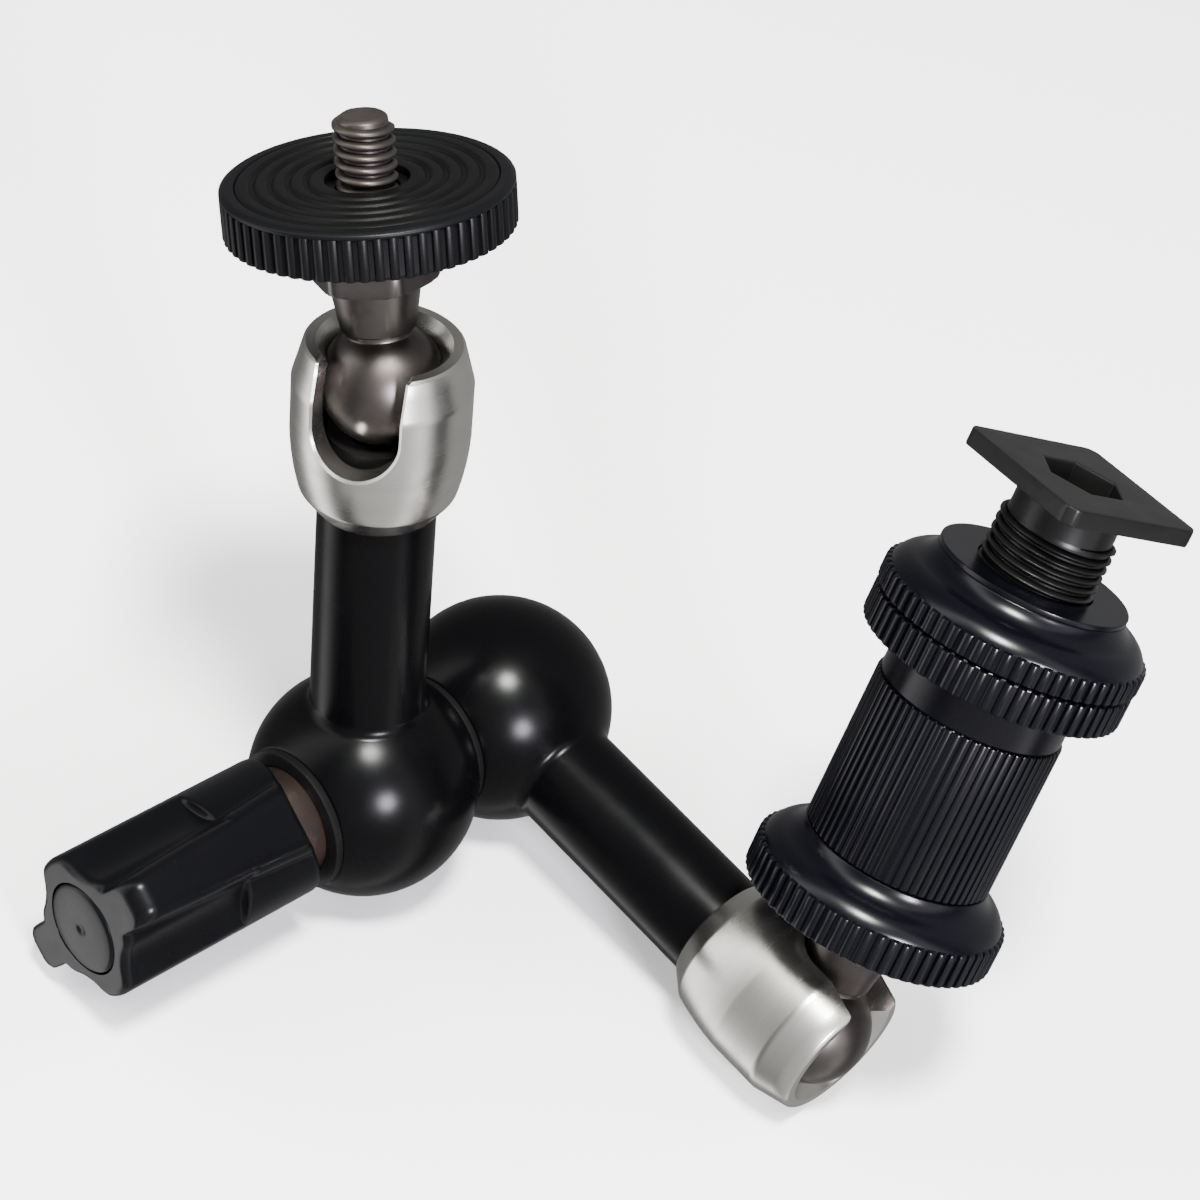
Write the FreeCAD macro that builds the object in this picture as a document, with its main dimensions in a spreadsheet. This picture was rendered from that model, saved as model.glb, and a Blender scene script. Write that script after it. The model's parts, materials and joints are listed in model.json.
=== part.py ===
import FreeCAD, Part
import math
import os
from types import SimpleNamespace

import Sketcher

# An articulating friction arm: two ball-ended tubes meet at an elbow that one
# winged knob locks. Millimetres. The arm lies as it rests on a table, on its
# two elbow balls and on the lower socket, with the upper tube standing up.
#
# Frames used below, each with its own origin and local Z:
#   arm frame     at the elbow ball's centre, Z along the tube, Y along the elbow
#   socket frame  at the stud ball's centre, Z along the tube, X through the slot
#   stud frame    at the stud ball's centre, Z along the stud
#   knob frame    at the upper elbow ball's centre, Z out of the knob, X along a wing

SIZES = (
    # Elbow balls and tubes
    ("elbow_ball_radius", 13.0),
    ("elbow_cap_height", 2.9),
    ("elbow_washer_thickness", 0.8),
    ("elbow_washer_bore", 5.6),
    ("tube_radius", 6.35),
    ("tube_fillet", 1.5),
    ("tube_end_chamfer", 0.4),
    ("cross_bore_radius", 5.18),
    ("cross_bore_reach", 5.2),
    ("rod_bore_gap", 0.07),
    ("elbow_to_stud_ball", 52.6),
    # Cones, bolt and rods that carry the knob's pull to the sockets
    ("cone_half_angle", 30.0),
    ("cone_mid_radius", 3.75),
    ("cone_big_radius", 5.1),
    ("cone_small_radius", 2.9),
    ("wedge_back", 5.0),
    ("bolt_radius", 2.45),
    ("bolt_end", 23.9),
    ("bolt_end_chamfer", 0.4),
    ("bolt_head_back", 4.0),
    ("bolt_gap", 0.07),
    ("rod_radius", 3.2),
    ("rod_to_cone_gap", 0.02),
    ("rod_outer_end", 14.0),
    ("spring_wire_radius", 0.4),
    ("spring_coil_radius", 3.4),
    ("spring_turns", 4.0),
    ("spring_end_gap", 0.7),
    # Thrust bushing, washers and knob: ends and starts lie above the ball's flat
    ("dust_washer_thickness", 1.0),
    ("dust_washer_gap", 0.06),
    ("bushing_radius", 6.3),
    ("bushing_shoulder", 0.75),
    ("bushing_end", 4.4),
    ("bushing_gap", 0.05),
    ("knob_start", 2.2),
    ("knob_end", 29.1),
    ("knob_body_radius", 8.1),
    ("knob_end_round", 15.0),
    ("wing_root_length", 8.9),
    ("wing_root_half_width", 4.4),
    ("wing_tip_length", 13.3),
    ("wing_tip_half_width", 3.2),
    ("wing_corner_radius", 1.0),
    ("scoop_radius", 8.2),
    ("scoop_across", 9.9),
    ("scoop_aside", 11.4),
    ("scoop_start", 13.3),
    ("scoop_end", 27.4),
    ("insert_radius", 4.5),
    ("insert_end", 16.9),
    ("insert_groove_depth", 0.4),
    ("insert_groove_width", 1.6),
    ("knob_cavity_radius", 3.4),
    ("cap_radius", 5.25),
    ("cap_floor", 27.7),
    ("cap_crown", 0.3),
    ("cap_edge", 0.4),
    # Socket sleeves and the rings that keep them on the tubes
    ("sleeve_back", 14.9),
    ("sleeve_back_radius", 6.6),
    ("sleeve_shoulder", 12.5),
    ("sleeve_shoulder_radius", 8.4),
    ("sleeve_swell_radius", 30.0),
    ("sleeve_wide_start", 5.6),
    ("sleeve_wide_end", 0.4),
    ("sleeve_radius", 9.46),
    ("mouth_height", 4.8),
    ("mouth_outer_radius", 8.37),
    ("mouth_inner_radius", 7.05),
    ("mouth_edge", 0.3),
    ("throat_height", 3.0),
    ("seat_gap", 0.05),
    ("sleeve_bore_radius", 6.75),
    ("sleeve_collar", 2.2),
    ("sleeve_collar_gap", 0.07),
    ("slot_width", 9.4),
    ("slot_drop", 2.0),
    ("tube_end_drop", 8.0),
    ("ring_thickness", 1.1),
    ("ring_width", 0.9),
    ("ring_side_gap", 0.05),
    ("ring_groove_drop", 12.55),
    ("ring_split", 3.0),
    # Ball seats at the rods' outer ends
    ("seat_radius", 5.6),
    ("seat_rim_drop", 5.9),
    ("seat_base_drop", 7.95),
    ("seat_standoff", 0.4),
    # Ball studs
    ("stud_ball_radius", 6.6),
    ("stud_neck_radius", 3.9),
    ("stud_neck_end_radius", 4.8),
    ("stud_flange", 11.5),
    ("stud_flange_top", 14.4),
    ("stud_hex_flats", 12.0),
    ("screw_radius", 3.175),
    ("screw_tip_radius", 2.6),
    ("screw_tip_chamfer", 0.6),
    ("screw_end", 28.9),
    ("screw_relief_radius", 2.85),
    ("screw_relief_start", 21.4),
    ("screw_relief_end", 22.4),
    ("screw_gap", 0.055),
    # Mounting disc and its pad
    ("disc_hub_bottom", 14.6),
    ("disc_hub_radius", 7.0),
    ("disc_bottom", 16.9),
    ("disc_top", 22.2),
    ("disc_radius", 14.9),
    ("disc_edge", 0.45),
    ("disc_rim_width", 1.6),
    ("disc_lip_height", 0.8),
    ("disc_pad_bore", 4.3),
    ("disc_pad_proud", 0.1),
    ("pad_groove_depth", 0.4),
    ("pad_groove_width", 0.9),
    ("pad_groove_count", 4.0),
    ("rib_count", 62.0),
    ("rib_depth", 0.5),
    ("rib_valley_width", 0.95),
    ("rib_valley_floor", 0.25),
    # Shoe adapter: lock wheel, barrel, jam wheel, clamp wheel and shoe
    ("lock_wheel_bottom", 14.6),
    ("lock_wheel_radius", 14.5),
    ("lock_wheel_rim_top", 19.0),
    ("wheel_edge", 0.5),
    ("wheel_land", 0.2),
    ("dome_shoulder_in", 1.5),
    ("dome_shoulder_rise", 1.7),
    ("dome_shoulder_round", 3.0),
    ("dome_hollow_round", 2.6),
    ("barrel_bottom", 22.7),
    ("barrel_top", 41.3),
    ("barrel_radius", 10.7),
    ("barrel_edge", 0.4),
    ("barrel_floor", 33.0),
    ("knurl_count", 64.0),
    ("knurl_depth", 0.32),
    ("knurl_valley_width", 0.7),
    ("knurl_valley_floor", 0.15),
    ("jam_hub_radius", 10.4),
    ("jam_wheel_bottom", 45.9),
    ("jam_wheel_top", 49.9),
    ("jam_wheel_radius", 14.75),
    ("clamp_wheel_bottom", 50.0),
    ("clamp_wheel_rim_top", 52.8),
    ("clamp_wheel_radius", 14.9),
    ("clamp_wheel_top", 56.5),
    ("pressure_washer_top", 57.1),
    ("stem_radius", 6.47),
    ("stem_gap", 0.06),
    ("stem_thread_end", 63.0),
    ("stem_neck_radius", 5.77),
    ("stem_edge", 0.4),
    ("stem_hole_radius", 2.6),
    ("foot_bottom", 66.6),
    ("foot_top", 68.6),
    ("foot_width", 18.6),
    ("foot_corner_radius", 12.5),
    ("foot_socket_flats", 8.0),
    ("foot_socket_depth", 5.0),
    # The pose that the arm rests in, in degrees
    ("upper_arm_angle", 100.5),
    ("upper_slot_turn", -62.1),
    ("upper_stud_turn", 177.0),
    ("upper_stud_lean", 10.3),
    ("upper_hexagon_turn", -18.0),
    ("lower_slot_turn", 157.1),
    ("lower_stud_lean", 99.8),
    ("foot_turn", -21.4),
    ("knob_wing_turn", 32.5),
)


class Measure:
    """A length that knows its value and the spreadsheet formula behind it."""

    def __init__(self, value, formula):
        self.value = value
        self.formula = formula

    @staticmethod
    def of(thing):
        return thing if isinstance(thing, Measure) else Measure(float(thing), repr(float(thing)))

    def __add__(self, other):
        other = Measure.of(other)
        return Measure(self.value + other.value, f"({self.formula} + {other.formula})")

    def __sub__(self, other):
        other = Measure.of(other)
        return Measure(self.value - other.value, f"({self.formula} - {other.formula})")

    def __mul__(self, other):
        other = Measure.of(other)
        return Measure(self.value * other.value, f"({self.formula} * {other.formula})")

    def __truediv__(self, other):
        other = Measure.of(other)
        return Measure(self.value / other.value, f"({self.formula} / {other.formula})")

    def __radd__(self, other):
        return Measure.of(other) + self

    def __rsub__(self, other):
        return Measure.of(other) - self

    def __rmul__(self, other):
        return Measure.of(other) * self

    def __neg__(self):
        return Measure(-self.value, f"(0 - {self.formula})")

    def positive(self):
        return Measure(abs(self.value), f"abs({self.formula})")


def root(measure):
    return Measure(math.sqrt(measure.value), f"sqrt({measure.formula})")


def leg(long_side, short_side):
    """The other leg of a right triangle."""
    return root(long_side * long_side - short_side * short_side)


doc = FreeCAD.newDocument("friction_arm")
sheet = doc.addObject("Spreadsheet::Sheet", "Sizes")
size = SimpleNamespace()
for row, (alias, value) in enumerate(SIZES, start=1):
    sheet.set(f"A{row}", alias)
    sheet.set(f"B{row}", str(value))
    sheet.setAlias(f"B{row}", alias)
    setattr(size, alias, Measure(value, f"Sizes.{alias}"))
doc.recompute()

CONE_SLOPE = math.tan(math.radians(size.cone_half_angle.value))
CONE_COSINE = math.cos(math.radians(size.cone_half_angle.value))
HEX_CORNER = 1 / math.sqrt(3)
WIRE_SIDES = 8
WIRE_SIDE_ANGLE = 360 / WIRE_SIDES

elbow_flat = size.elbow_ball_radius - size.elbow_cap_height
elbow_spacing = 2 * elbow_flat + size.elbow_washer_thickness
flat_edge_radius = leg(size.elbow_ball_radius, elbow_flat)
bolt_end = elbow_flat + size.bolt_end
bushing_shoulder = elbow_flat + size.bushing_shoulder
bushing_end = elbow_flat + size.bushing_end
knob_start = elbow_flat + size.knob_start
knob_end = elbow_flat + size.knob_end
cap_floor = elbow_flat + size.cap_floor
insert_end = elbow_flat + size.insert_end
disc_lip_radius = size.disc_radius - size.disc_rim_width
bolt_bore_radius = size.bolt_radius + size.bolt_gap
rod_bore_radius = size.rod_radius + size.rod_bore_gap
cone_big_end = (size.cone_big_radius - size.cone_mid_radius) / CONE_SLOPE
cone_small_end = (size.cone_mid_radius - size.cone_small_radius) / CONE_SLOPE
rod_tip_centre = size.cone_mid_radius + size.rod_radius / CONE_COSINE + size.rod_to_cone_gap
stem_bore_radius = size.stem_radius + size.stem_gap
screw_bore_radius = size.screw_radius + size.screw_gap

subparts = []


# Drawing helpers

def origin_feature(body, role):
    return next(item for item in body.Origin.OriginFeatures if item.Role == role)


def arc_between(start, end, radius):
    """A circular arc from start to end: radius over 0 turns left, under 0 right."""
    chord = end - start
    half = chord.Length / 2
    rise = math.sqrt(max(radius * radius - half * half, 0.0))
    side = FreeCAD.Vector(-chord.y, chord.x, 0).normalize() * math.copysign(rise, radius)
    centre = start + chord / 2 + side
    first, last = (start, end) if radius > 0 else (end, start)
    angles = [math.atan2(p.y - centre.y, p.x - centre.x) for p in (first, last)]
    if angles[1] < angles[0]:
        angles[1] += 2 * math.pi
    circle = Part.Circle(centre, FreeCAD.Vector(0, 0, 1), abs(radius))
    return Part.ArcOfCircle(circle, *angles)


def sketch_on(body, plane, name, lift=None):
    sketch = body.newObject("Sketcher::SketchObject", name)
    sketch.AttachmentSupport = [(origin_feature(body, plane), "")]
    sketch.MapMode = "FlatFace"
    if lift is not None:
        sketch.setExpression("AttachmentOffset.Base.z", lift.formula)
    return sketch


def bind(sketch, name, kind, *parts):
    *where, measure = parts
    index = sketch.addConstraint(Sketcher.Constraint(kind, *where, measure.value))
    sketch.renameConstraint(index, name)
    sketch.setExpression(f"Constraints.{name}", measure.formula)


def outline(body, plane, name, corners, lift=None):
    """A closed sketch. A corner is (across, up), or (across, up, radius) where an
    arc of that radius runs on to the next corner, turning left if it is over 0."""
    sketch = sketch_on(body, plane, name, lift)
    places = [(Measure.of(corner[0]), Measure.of(corner[1])) for corner in corners]
    points = [FreeCAD.Vector(x.value, y.value, 0) for x, y in places]
    ends = []
    for number, corner in enumerate(corners):
        start = points[number]
        end = points[(number + 1) % len(points)]
        if len(corner) == 3:
            radius = Measure.of(corner[2])
            geometry = sketch.addGeometry(arc_between(start, end, radius.value))
            ends.append((geometry, 1, 2) if radius.value > 0 else (geometry, 2, 1))
            bind(sketch, f"bend_{number}", "Radius", geometry, radius.positive())
        else:
            geometry = sketch.addGeometry(Part.LineSegment(start, end))
            ends.append((geometry, 1, 2))
    for number, (geometry, first, _) in enumerate(ends):
        before = ends[number - 1]
        sketch.addConstraint(Sketcher.Constraint("Coincident", before[0], before[2], geometry, first))
        across, up = places[number]
        bind(sketch, f"across_{number}", "DistanceX", -1, 1, geometry, first, across)
        bind(sketch, f"up_{number}", "DistanceY", -1, 1, geometry, first, up)
    return sketch


def new_body(label):
    body = doc.addObject("PartDesign::Body", label)
    body.Label = label
    subparts.append(body)
    return body


def turn(body, name, corners):
    """Revolves an outline of (radius, height) corners about the body's Z axis."""
    sketch = outline(body, "XZ_Plane", f"{name}_outline", corners)
    feature = body.newObject("PartDesign::Revolution", name)
    feature.Profile = sketch
    feature.ReferenceAxis = (sketch, ["V_Axis"])
    feature.Angle = 360
    body.Tip = feature
    return feature


def pad(body, name, sketch, length):
    feature = body.newObject("PartDesign::Pad", name)
    feature.Profile = sketch
    feature.setExpression("Length", length.formula)
    body.Tip = feature
    return feature


def pocket(body, name, sketch, length, forwards=True):
    """Cuts along the sketch's normal, or against it when forwards is False."""
    doc.recompute()
    before = body.Shape.Volume
    feature = body.newObject("PartDesign::Pocket", name)
    feature.Profile = sketch
    feature.Reversed = forwards
    feature.setExpression("Length", Measure.of(length).formula)
    body.Tip = feature
    doc.recompute()
    if body.Shape.Volume >= before - 1e-6:
        raise RuntimeError(f"{body.Label}: {name} cuts nothing")
    return feature


def around(body, name, feature, count):
    """Repeats a feature evenly about the body's Z axis."""
    pattern = body.newObject("PartDesign::PolarPattern", name)
    pattern.Originals = [feature]
    pattern.Axis = (origin_feature(body, "Z_Axis"), [""])
    pattern.Angle = 360
    pattern.setExpression("Occurrences", count.formula)
    body.Tip = pattern
    doc.recompute()
    return pattern


def turned(label, corners):
    body = new_body(label)
    turn(body, "turned", corners)
    return body


def hexagon(flats):
    """The corners of a hexagon with two flats across Y."""
    corner = flats * HEX_CORNER
    half = flats / 2
    return [(corner, 0), (corner / 2, half), (-corner / 2, half),
            (-corner, 0), (-corner / 2, -half), (corner / 2, -half)]


def ribbed(body, crest, low, high, count, depth, valley, floor):
    """Straight valleys cut along a rim, which leave ribs between them."""
    reach = crest + depth
    corners = [(crest - depth, -floor / 2), (crest, -valley / 2),
               (reach, -valley / 2), (reach, valley / 2),
               (crest, valley / 2), (crest - depth, floor / 2)]
    sketch = outline(body, "XY_Plane", "valley_outline", corners, lift=low)
    valley_cut = pocket(body, "valley", sketch, high - low)
    around(body, "valleys", valley_cut, count)


# The two ball-ended tubes

def ball_arm(label, outward):
    """Ball and tube in one turned piece. outward is +1 where the ball's outer side
    lies towards +Y; there it stays round, and the cross bore stops inside it."""
    stud_ball = size.elbow_to_stud_ball
    fillet_across = size.tube_radius + size.tube_fillet
    fillet_reach = size.elbow_ball_radius + size.tube_fillet
    fillet_up = leg(fillet_reach, fillet_across)
    share = size.elbow_ball_radius / fillet_reach
    tube_end = stud_ball - size.tube_end_drop
    groove_low = stud_ball - size.ring_groove_drop
    groove_high = groove_low + size.ring_thickness + 2 * size.ring_side_gap
    groove_radius = ring_bore_radius - size.ring_side_gap
    body = turned(label, [
        (0, -size.elbow_ball_radius, size.elbow_ball_radius),
        (fillet_across * share, fillet_up * share, -size.tube_fillet),
        (size.tube_radius, fillet_up),
        (size.tube_radius, groove_low),
        (groove_radius, groove_low),
        (groove_radius, groove_high),
        (size.tube_radius, groove_high),
        (size.tube_radius, tube_end - size.tube_end_chamfer),
        (size.tube_radius - size.tube_end_chamfer, tube_end),
        (rod_bore_radius, tube_end),
        (rod_bore_radius, 0),
        (0, 0),
    ])
    block = size.elbow_ball_radius * 2
    square = [(-block, -block), (block, -block), (block, block), (-block, block)]
    # The XZ plane's normal points to -Y, so a lift over 0 lies towards -Y.
    inner = outline(body, "XZ_Plane", "inner_face", square, lift=elbow_flat * outward)
    pocket(body, "inner_flat", inner, block, forwards=outward > 0)
    if outward < 0:
        outer = outline(body, "XZ_Plane", "outer_face", square, lift=elbow_flat)
        pocket(body, "outer_flat", outer, block)
    bore_from = elbow_flat * outward
    bore_length = elbow_flat * 2 if outward < 0 else elbow_flat + size.cross_bore_reach
    bore = sketch_on(body, "XZ_Plane", "bore_circle", lift=bore_from)
    circle = Part.Circle(FreeCAD.Vector(), FreeCAD.Vector(0, 0, 1), size.cross_bore_radius.value)
    ring = bore.addGeometry(circle)
    bore.addConstraint(Sketcher.Constraint("Coincident", ring, 3, -1, 1))
    bind(bore, "bore", "Radius", ring, size.cross_bore_radius)
    pocket(body, "cross_bore", bore, bore_length, forwards=outward < 0)
    return body


# What the knob pulls on

def draw_bolt():
    """Bolt through the elbow, with the cone for the lower rod at its far end."""
    centre = -elbow_spacing
    back = centre - size.bolt_head_back
    edge = size.bolt_end_chamfer
    return turned("draw_bolt", [
        (0, back),
        (size.cone_big_radius - edge, back),
        (size.cone_big_radius, back + edge),
        (size.cone_big_radius, centre - cone_big_end),
        (size.cone_small_radius, centre + cone_small_end),
        (size.bolt_radius, centre + cone_small_end),
        (size.bolt_radius, bolt_end - edge),
        (size.bolt_radius - edge, bolt_end),
        (0, bolt_end),
    ])


def cone_wedge():
    """Hollow cone that slides on the bolt and lifts the upper rod."""
    return turned("cone_wedge", [
        (bolt_bore_radius, -cone_small_end),
        (size.cone_small_radius, -cone_small_end),
        (size.cone_big_radius, cone_big_end),
        (size.cone_big_radius, size.wedge_back),
        (bolt_bore_radius, size.wedge_back),
    ])


def thrust_bushing():
    return turned("thrust_bushing", [
        (bolt_bore_radius, size.wedge_back),
        (size.cone_big_radius, size.wedge_back),
        (size.cone_big_radius, bushing_shoulder),
        (size.bushing_radius, bushing_shoulder),
        (size.bushing_radius, bushing_end),
        (bolt_bore_radius, bushing_end),
    ])


def push_rod(label):
    """Rod in the arm frame, round-nosed where it meets the cone."""
    radius = size.rod_radius
    top = size.elbow_to_stud_ball - size.rod_outer_end
    return turned(label, [
        (0, rod_tip_centre - radius, radius),
        (radius, rod_tip_centre),
        (radius, top),
        (0, top),
    ])


def ball_seat(label):
    """Cup that the rod presses on the stud's ball, in the socket frame."""
    hollow = size.stud_ball_radius + size.seat_gap
    rim_radius = leg(hollow, size.seat_rim_drop - size.seat_standoff)
    return turned(label, [
        (0, -size.rod_outer_end),
        (size.rod_radius, -size.rod_outer_end),
        (size.rod_radius, -size.seat_base_drop),
        (size.seat_radius, -size.seat_base_drop),
        (size.seat_radius, -size.seat_rim_drop),
        (rim_radius, -size.seat_rim_drop, -hollow),
        (0, -size.seat_standoff - hollow),
    ])


def release_spring():
    """Coil about the bolt, between the two cones, in the knob frame. Its wire is
    drawn with eight sides."""
    low = -(elbow_spacing - cone_small_end - size.spring_end_gap).value
    high = -(cone_small_end + size.spring_end_gap).value
    wire = size.spring_wire_radius.value
    coil = size.spring_coil_radius.value
    rise = high - low - 2 * wire
    start = FreeCAD.Vector(0, 0, low + wire)
    helix = Part.makeHelix(rise / size.spring_turns.value, rise, coil)
    helix.translate(start)
    rim = start + FreeCAD.Vector(coil, 0, 0)
    angles = [math.radians(WIRE_SIDE_ANGLE * side) for side in range(WIRE_SIDES + 1)]
    section = Part.makePolygon([
        rim + FreeCAD.Vector(wire * math.cos(angle), 0, wire * math.sin(angle))
        for angle in angles])
    coiled = Part.Wire(helix).makePipeShell([section], True, True)
    spring = doc.addObject("Part::Feature", "release_spring")
    spring.Label = "release_spring"
    spring.Shape = coiled
    subparts.append(spring)
    return spring


def washer(label, bore, radius, low, high):
    return turned(label, [(bore, low), (radius, low), (radius, high), (bore, high)])


# Knob

def knob_body():
    """Two-winged knob. Four scoops leave the wings and two low lobes between them."""
    body = new_body("knob_body")
    tip = size.wing_tip_length
    root_length = size.wing_root_length
    ends = []
    for name, length, width, lift in (
        ("wing_root", root_length, size.wing_root_half_width, knob_start),
        ("wing_tip", tip, size.wing_tip_half_width, knob_end),
    ):
        corner = size.wing_corner_radius
        straight = length - corner
        flank = width - corner
        ends.append(outline(body, "XY_Plane", name, [
            (-straight, -width), (straight, -width, corner),
            (length, -flank), (length, flank, corner),
            (straight, width), (-straight, width, corner),
            (-length, flank), (-length, -flank, corner),
        ], lift=lift))
    wings = body.newObject("PartDesign::AdditiveLoft", "wings")
    wings.Profile = ends[0]
    wings.Sections = [ends[1]]
    wings.Ruled = True
    body.Tip = wings
    core = sketch_on(body, "XY_Plane", "core_circle", lift=knob_start)
    ring = core.addGeometry(
        Part.Circle(FreeCAD.Vector(), FreeCAD.Vector(0, 0, 1), size.knob_body_radius.value))
    core.addConstraint(Sketcher.Constraint("Coincident", ring, 3, -1, 1))
    bind(core, "core", "Radius", ring, size.knob_body_radius)
    pad(body, "core_pad", core, knob_end - knob_start)
    scoops = sketch_on(body, "XY_Plane", "scoop_circles", lift=elbow_flat + size.scoop_start)
    for number, (across, aside) in enumerate(((1, 1), (-1, 1), (-1, -1), (1, -1))):
        place = (size.scoop_across * across, size.scoop_aside * aside)
        centre = FreeCAD.Vector(place[0].value, place[1].value, 0)
        ring = scoops.addGeometry(
            Part.Circle(centre, FreeCAD.Vector(0, 0, 1), size.scoop_radius.value))
        bind(scoops, f"scoop_{number}", "Radius", ring, size.scoop_radius)
        bind(scoops, f"across_{number}", "DistanceX", -1, 1, ring, 3, place[0])
        bind(scoops, f"aside_{number}", "DistanceY", -1, 1, ring, 3, place[1])
    pocket(body, "scoops", scoops, size.scoop_end - size.scoop_start)
    # The end towards the elbow is rounded across the wings.
    block = size.knob_end_round
    far = knob_start - size.knob_end_round
    trim = outline(body, "XZ_Plane", "end_round_outline", [
        (-block, knob_start + block, block),
        (0, knob_start, block),
        (block, knob_start + block),
        (block * 2, knob_start + block),
        (block * 2, far),
        (-block * 2, far),
        (-block * 2, knob_start + block),
    ], lift=-block)
    pocket(body, "end_round", trim, block * 2)
    bore = [
        (0, knob_start - 1),
        (size.bushing_radius + size.bushing_gap, knob_start - 1),
        (size.bushing_radius + size.bushing_gap, bushing_end),
        (size.insert_radius, bushing_end),
        (size.insert_radius, insert_end),
        (size.knob_cavity_radius, insert_end),
        (size.knob_cavity_radius, cap_floor),
        (size.cap_radius, cap_floor),
        (size.cap_radius, knob_end + 1),
        (0, knob_end + 1),
    ]
    bore_sketch = outline(body, "XZ_Plane", "bore_outline", bore)
    groove = body.newObject("PartDesign::Groove", "stepped_bore")
    groove.Profile = bore_sketch
    groove.ReferenceAxis = (bore_sketch, ["V_Axis"])
    groove.Angle = 360
    body.Tip = groove
    doc.recompute()
    return body


def knob_insert():
    """Threaded brass insert with one grip groove."""
    middle = (bushing_end + insert_end) / 2
    waist = size.insert_radius - size.insert_groove_depth
    half = size.insert_groove_width / 2
    bore = size.bolt_radius + size.bushing_gap
    return turned("knob_insert", [
        (bore, bushing_end),
        (size.insert_radius, bushing_end),
        (size.insert_radius, middle - half),
        (waist, middle - half),
        (waist, middle + half),
        (size.insert_radius, middle + half),
        (size.insert_radius, insert_end),
        (bore, insert_end),
    ])


def knob_cap():
    top = knob_end + size.cap_crown
    return turned("knob_cap", [
        (0, cap_floor),
        (size.cap_radius, cap_floor),
        (size.cap_radius, top - size.cap_edge),
        (size.cap_radius - size.cap_edge, top),
        (0, top),
    ])


# Sockets and studs

ring_outer_radius = size.sleeve_bore_radius - size.ring_side_gap
ring_bore_radius = ring_outer_radius - size.ring_width


def socket_sleeve(label):
    """Slotted sleeve: its throat holds the ball, its collar turns on the tube."""
    seat = size.stud_ball_radius + size.seat_gap
    throat = leg(seat, size.throat_height)
    collar_bore = size.tube_radius + size.sleeve_collar_gap
    collar_top = size.sleeve_collar - size.sleeve_back
    body = turned(label, [
        (collar_bore, -size.sleeve_back),
        (size.sleeve_back_radius, -size.sleeve_back),
        (size.sleeve_shoulder_radius, -size.sleeve_shoulder, size.sleeve_swell_radius),
        (size.sleeve_radius, -size.sleeve_wide_start),
        (size.sleeve_radius, size.sleeve_wide_end),
        (size.mouth_outer_radius, size.mouth_height - size.mouth_edge),
        (size.mouth_outer_radius - size.mouth_edge, size.mouth_height),
        (size.mouth_inner_radius, size.mouth_height),
        (throat, size.throat_height, -seat),
        (seat, 0),
        (size.sleeve_bore_radius, 0),
        (size.sleeve_bore_radius, collar_top),
        (collar_bore, collar_top),
    ])
    half = size.slot_width / 2
    above = size.mouth_height + 1
    slot = outline(body, "YZ_Plane", "slot_outline", [
        (half, -size.slot_drop),
        (half, above),
        (-half, above),
        (-half, -size.slot_drop, half),
        (0, -size.slot_drop - half, half),
    ])
    pocket(body, "slot", slot, size.sleeve_radius * 2)
    return body


def retaining_ring(label):
    low = -size.ring_groove_drop + size.ring_side_gap
    body = turned(label, [
        (ring_bore_radius, low),
        (ring_outer_radius, low),
        (ring_outer_radius, low + size.ring_thickness),
        (ring_bore_radius, low + size.ring_thickness),
    ])
    half = size.ring_split / 2
    split = outline(body, "YZ_Plane", "split_outline", [
        (-half, low - 1),
        (half, low - 1),
        (half, low + size.ring_thickness + 1),
        (-half, low + size.ring_thickness + 1),
    ])
    pocket(body, "split", split, ring_outer_radius * 2)
    return body


def ball_stud(label):
    """Ball, neck, hexagon and screw in one piece, in the stud frame."""
    ball = size.stud_ball_radius
    body = turned(label, [
        (0, -ball, ball),
        (size.stud_neck_radius, leg(ball, size.stud_neck_radius)),
        (size.stud_neck_end_radius, size.stud_flange),
        (size.stud_neck_end_radius, size.stud_flange_top),
        (size.screw_radius, size.stud_flange_top),
        (size.screw_radius, size.screw_relief_start),
        (size.screw_relief_radius, size.screw_relief_start),
        (size.screw_relief_radius, size.screw_relief_end),
        (size.screw_radius, size.screw_relief_end),
        (size.screw_radius, size.screw_end - size.screw_tip_chamfer),
        (size.screw_tip_radius, size.screw_end),
        (0, size.screw_end),
    ])
    flats = outline(body, "XY_Plane", "hex_outline", hexagon(size.stud_hex_flats),
                    lift=size.stud_flange)
    pad(body, "hexagon", flats, size.stud_flange_top - size.stud_flange)
    return body


# Mounting disc

def mounting_disc():
    """Ribbed nut on the upper screw, with a recess for its pad."""
    edge = size.disc_edge
    floor = size.disc_top - size.disc_lip_height
    body = turned("mounting_disc", [
        (screw_bore_radius, size.disc_hub_bottom),
        (size.disc_hub_radius, size.disc_hub_bottom),
        (size.disc_hub_radius, size.disc_bottom),
        (size.disc_radius - edge, size.disc_bottom),
        (size.disc_radius, size.disc_bottom + edge),
        (size.disc_radius, size.disc_top - edge),
        (size.disc_radius - edge, size.disc_top),
        (disc_lip_radius, size.disc_top),
        (disc_lip_radius, floor),
        (screw_bore_radius, floor),
    ])
    ribbed(body, size.disc_radius, size.disc_bottom, size.disc_top, size.rib_count,
           size.rib_depth, size.rib_valley_width, size.rib_valley_floor)
    return body


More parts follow.
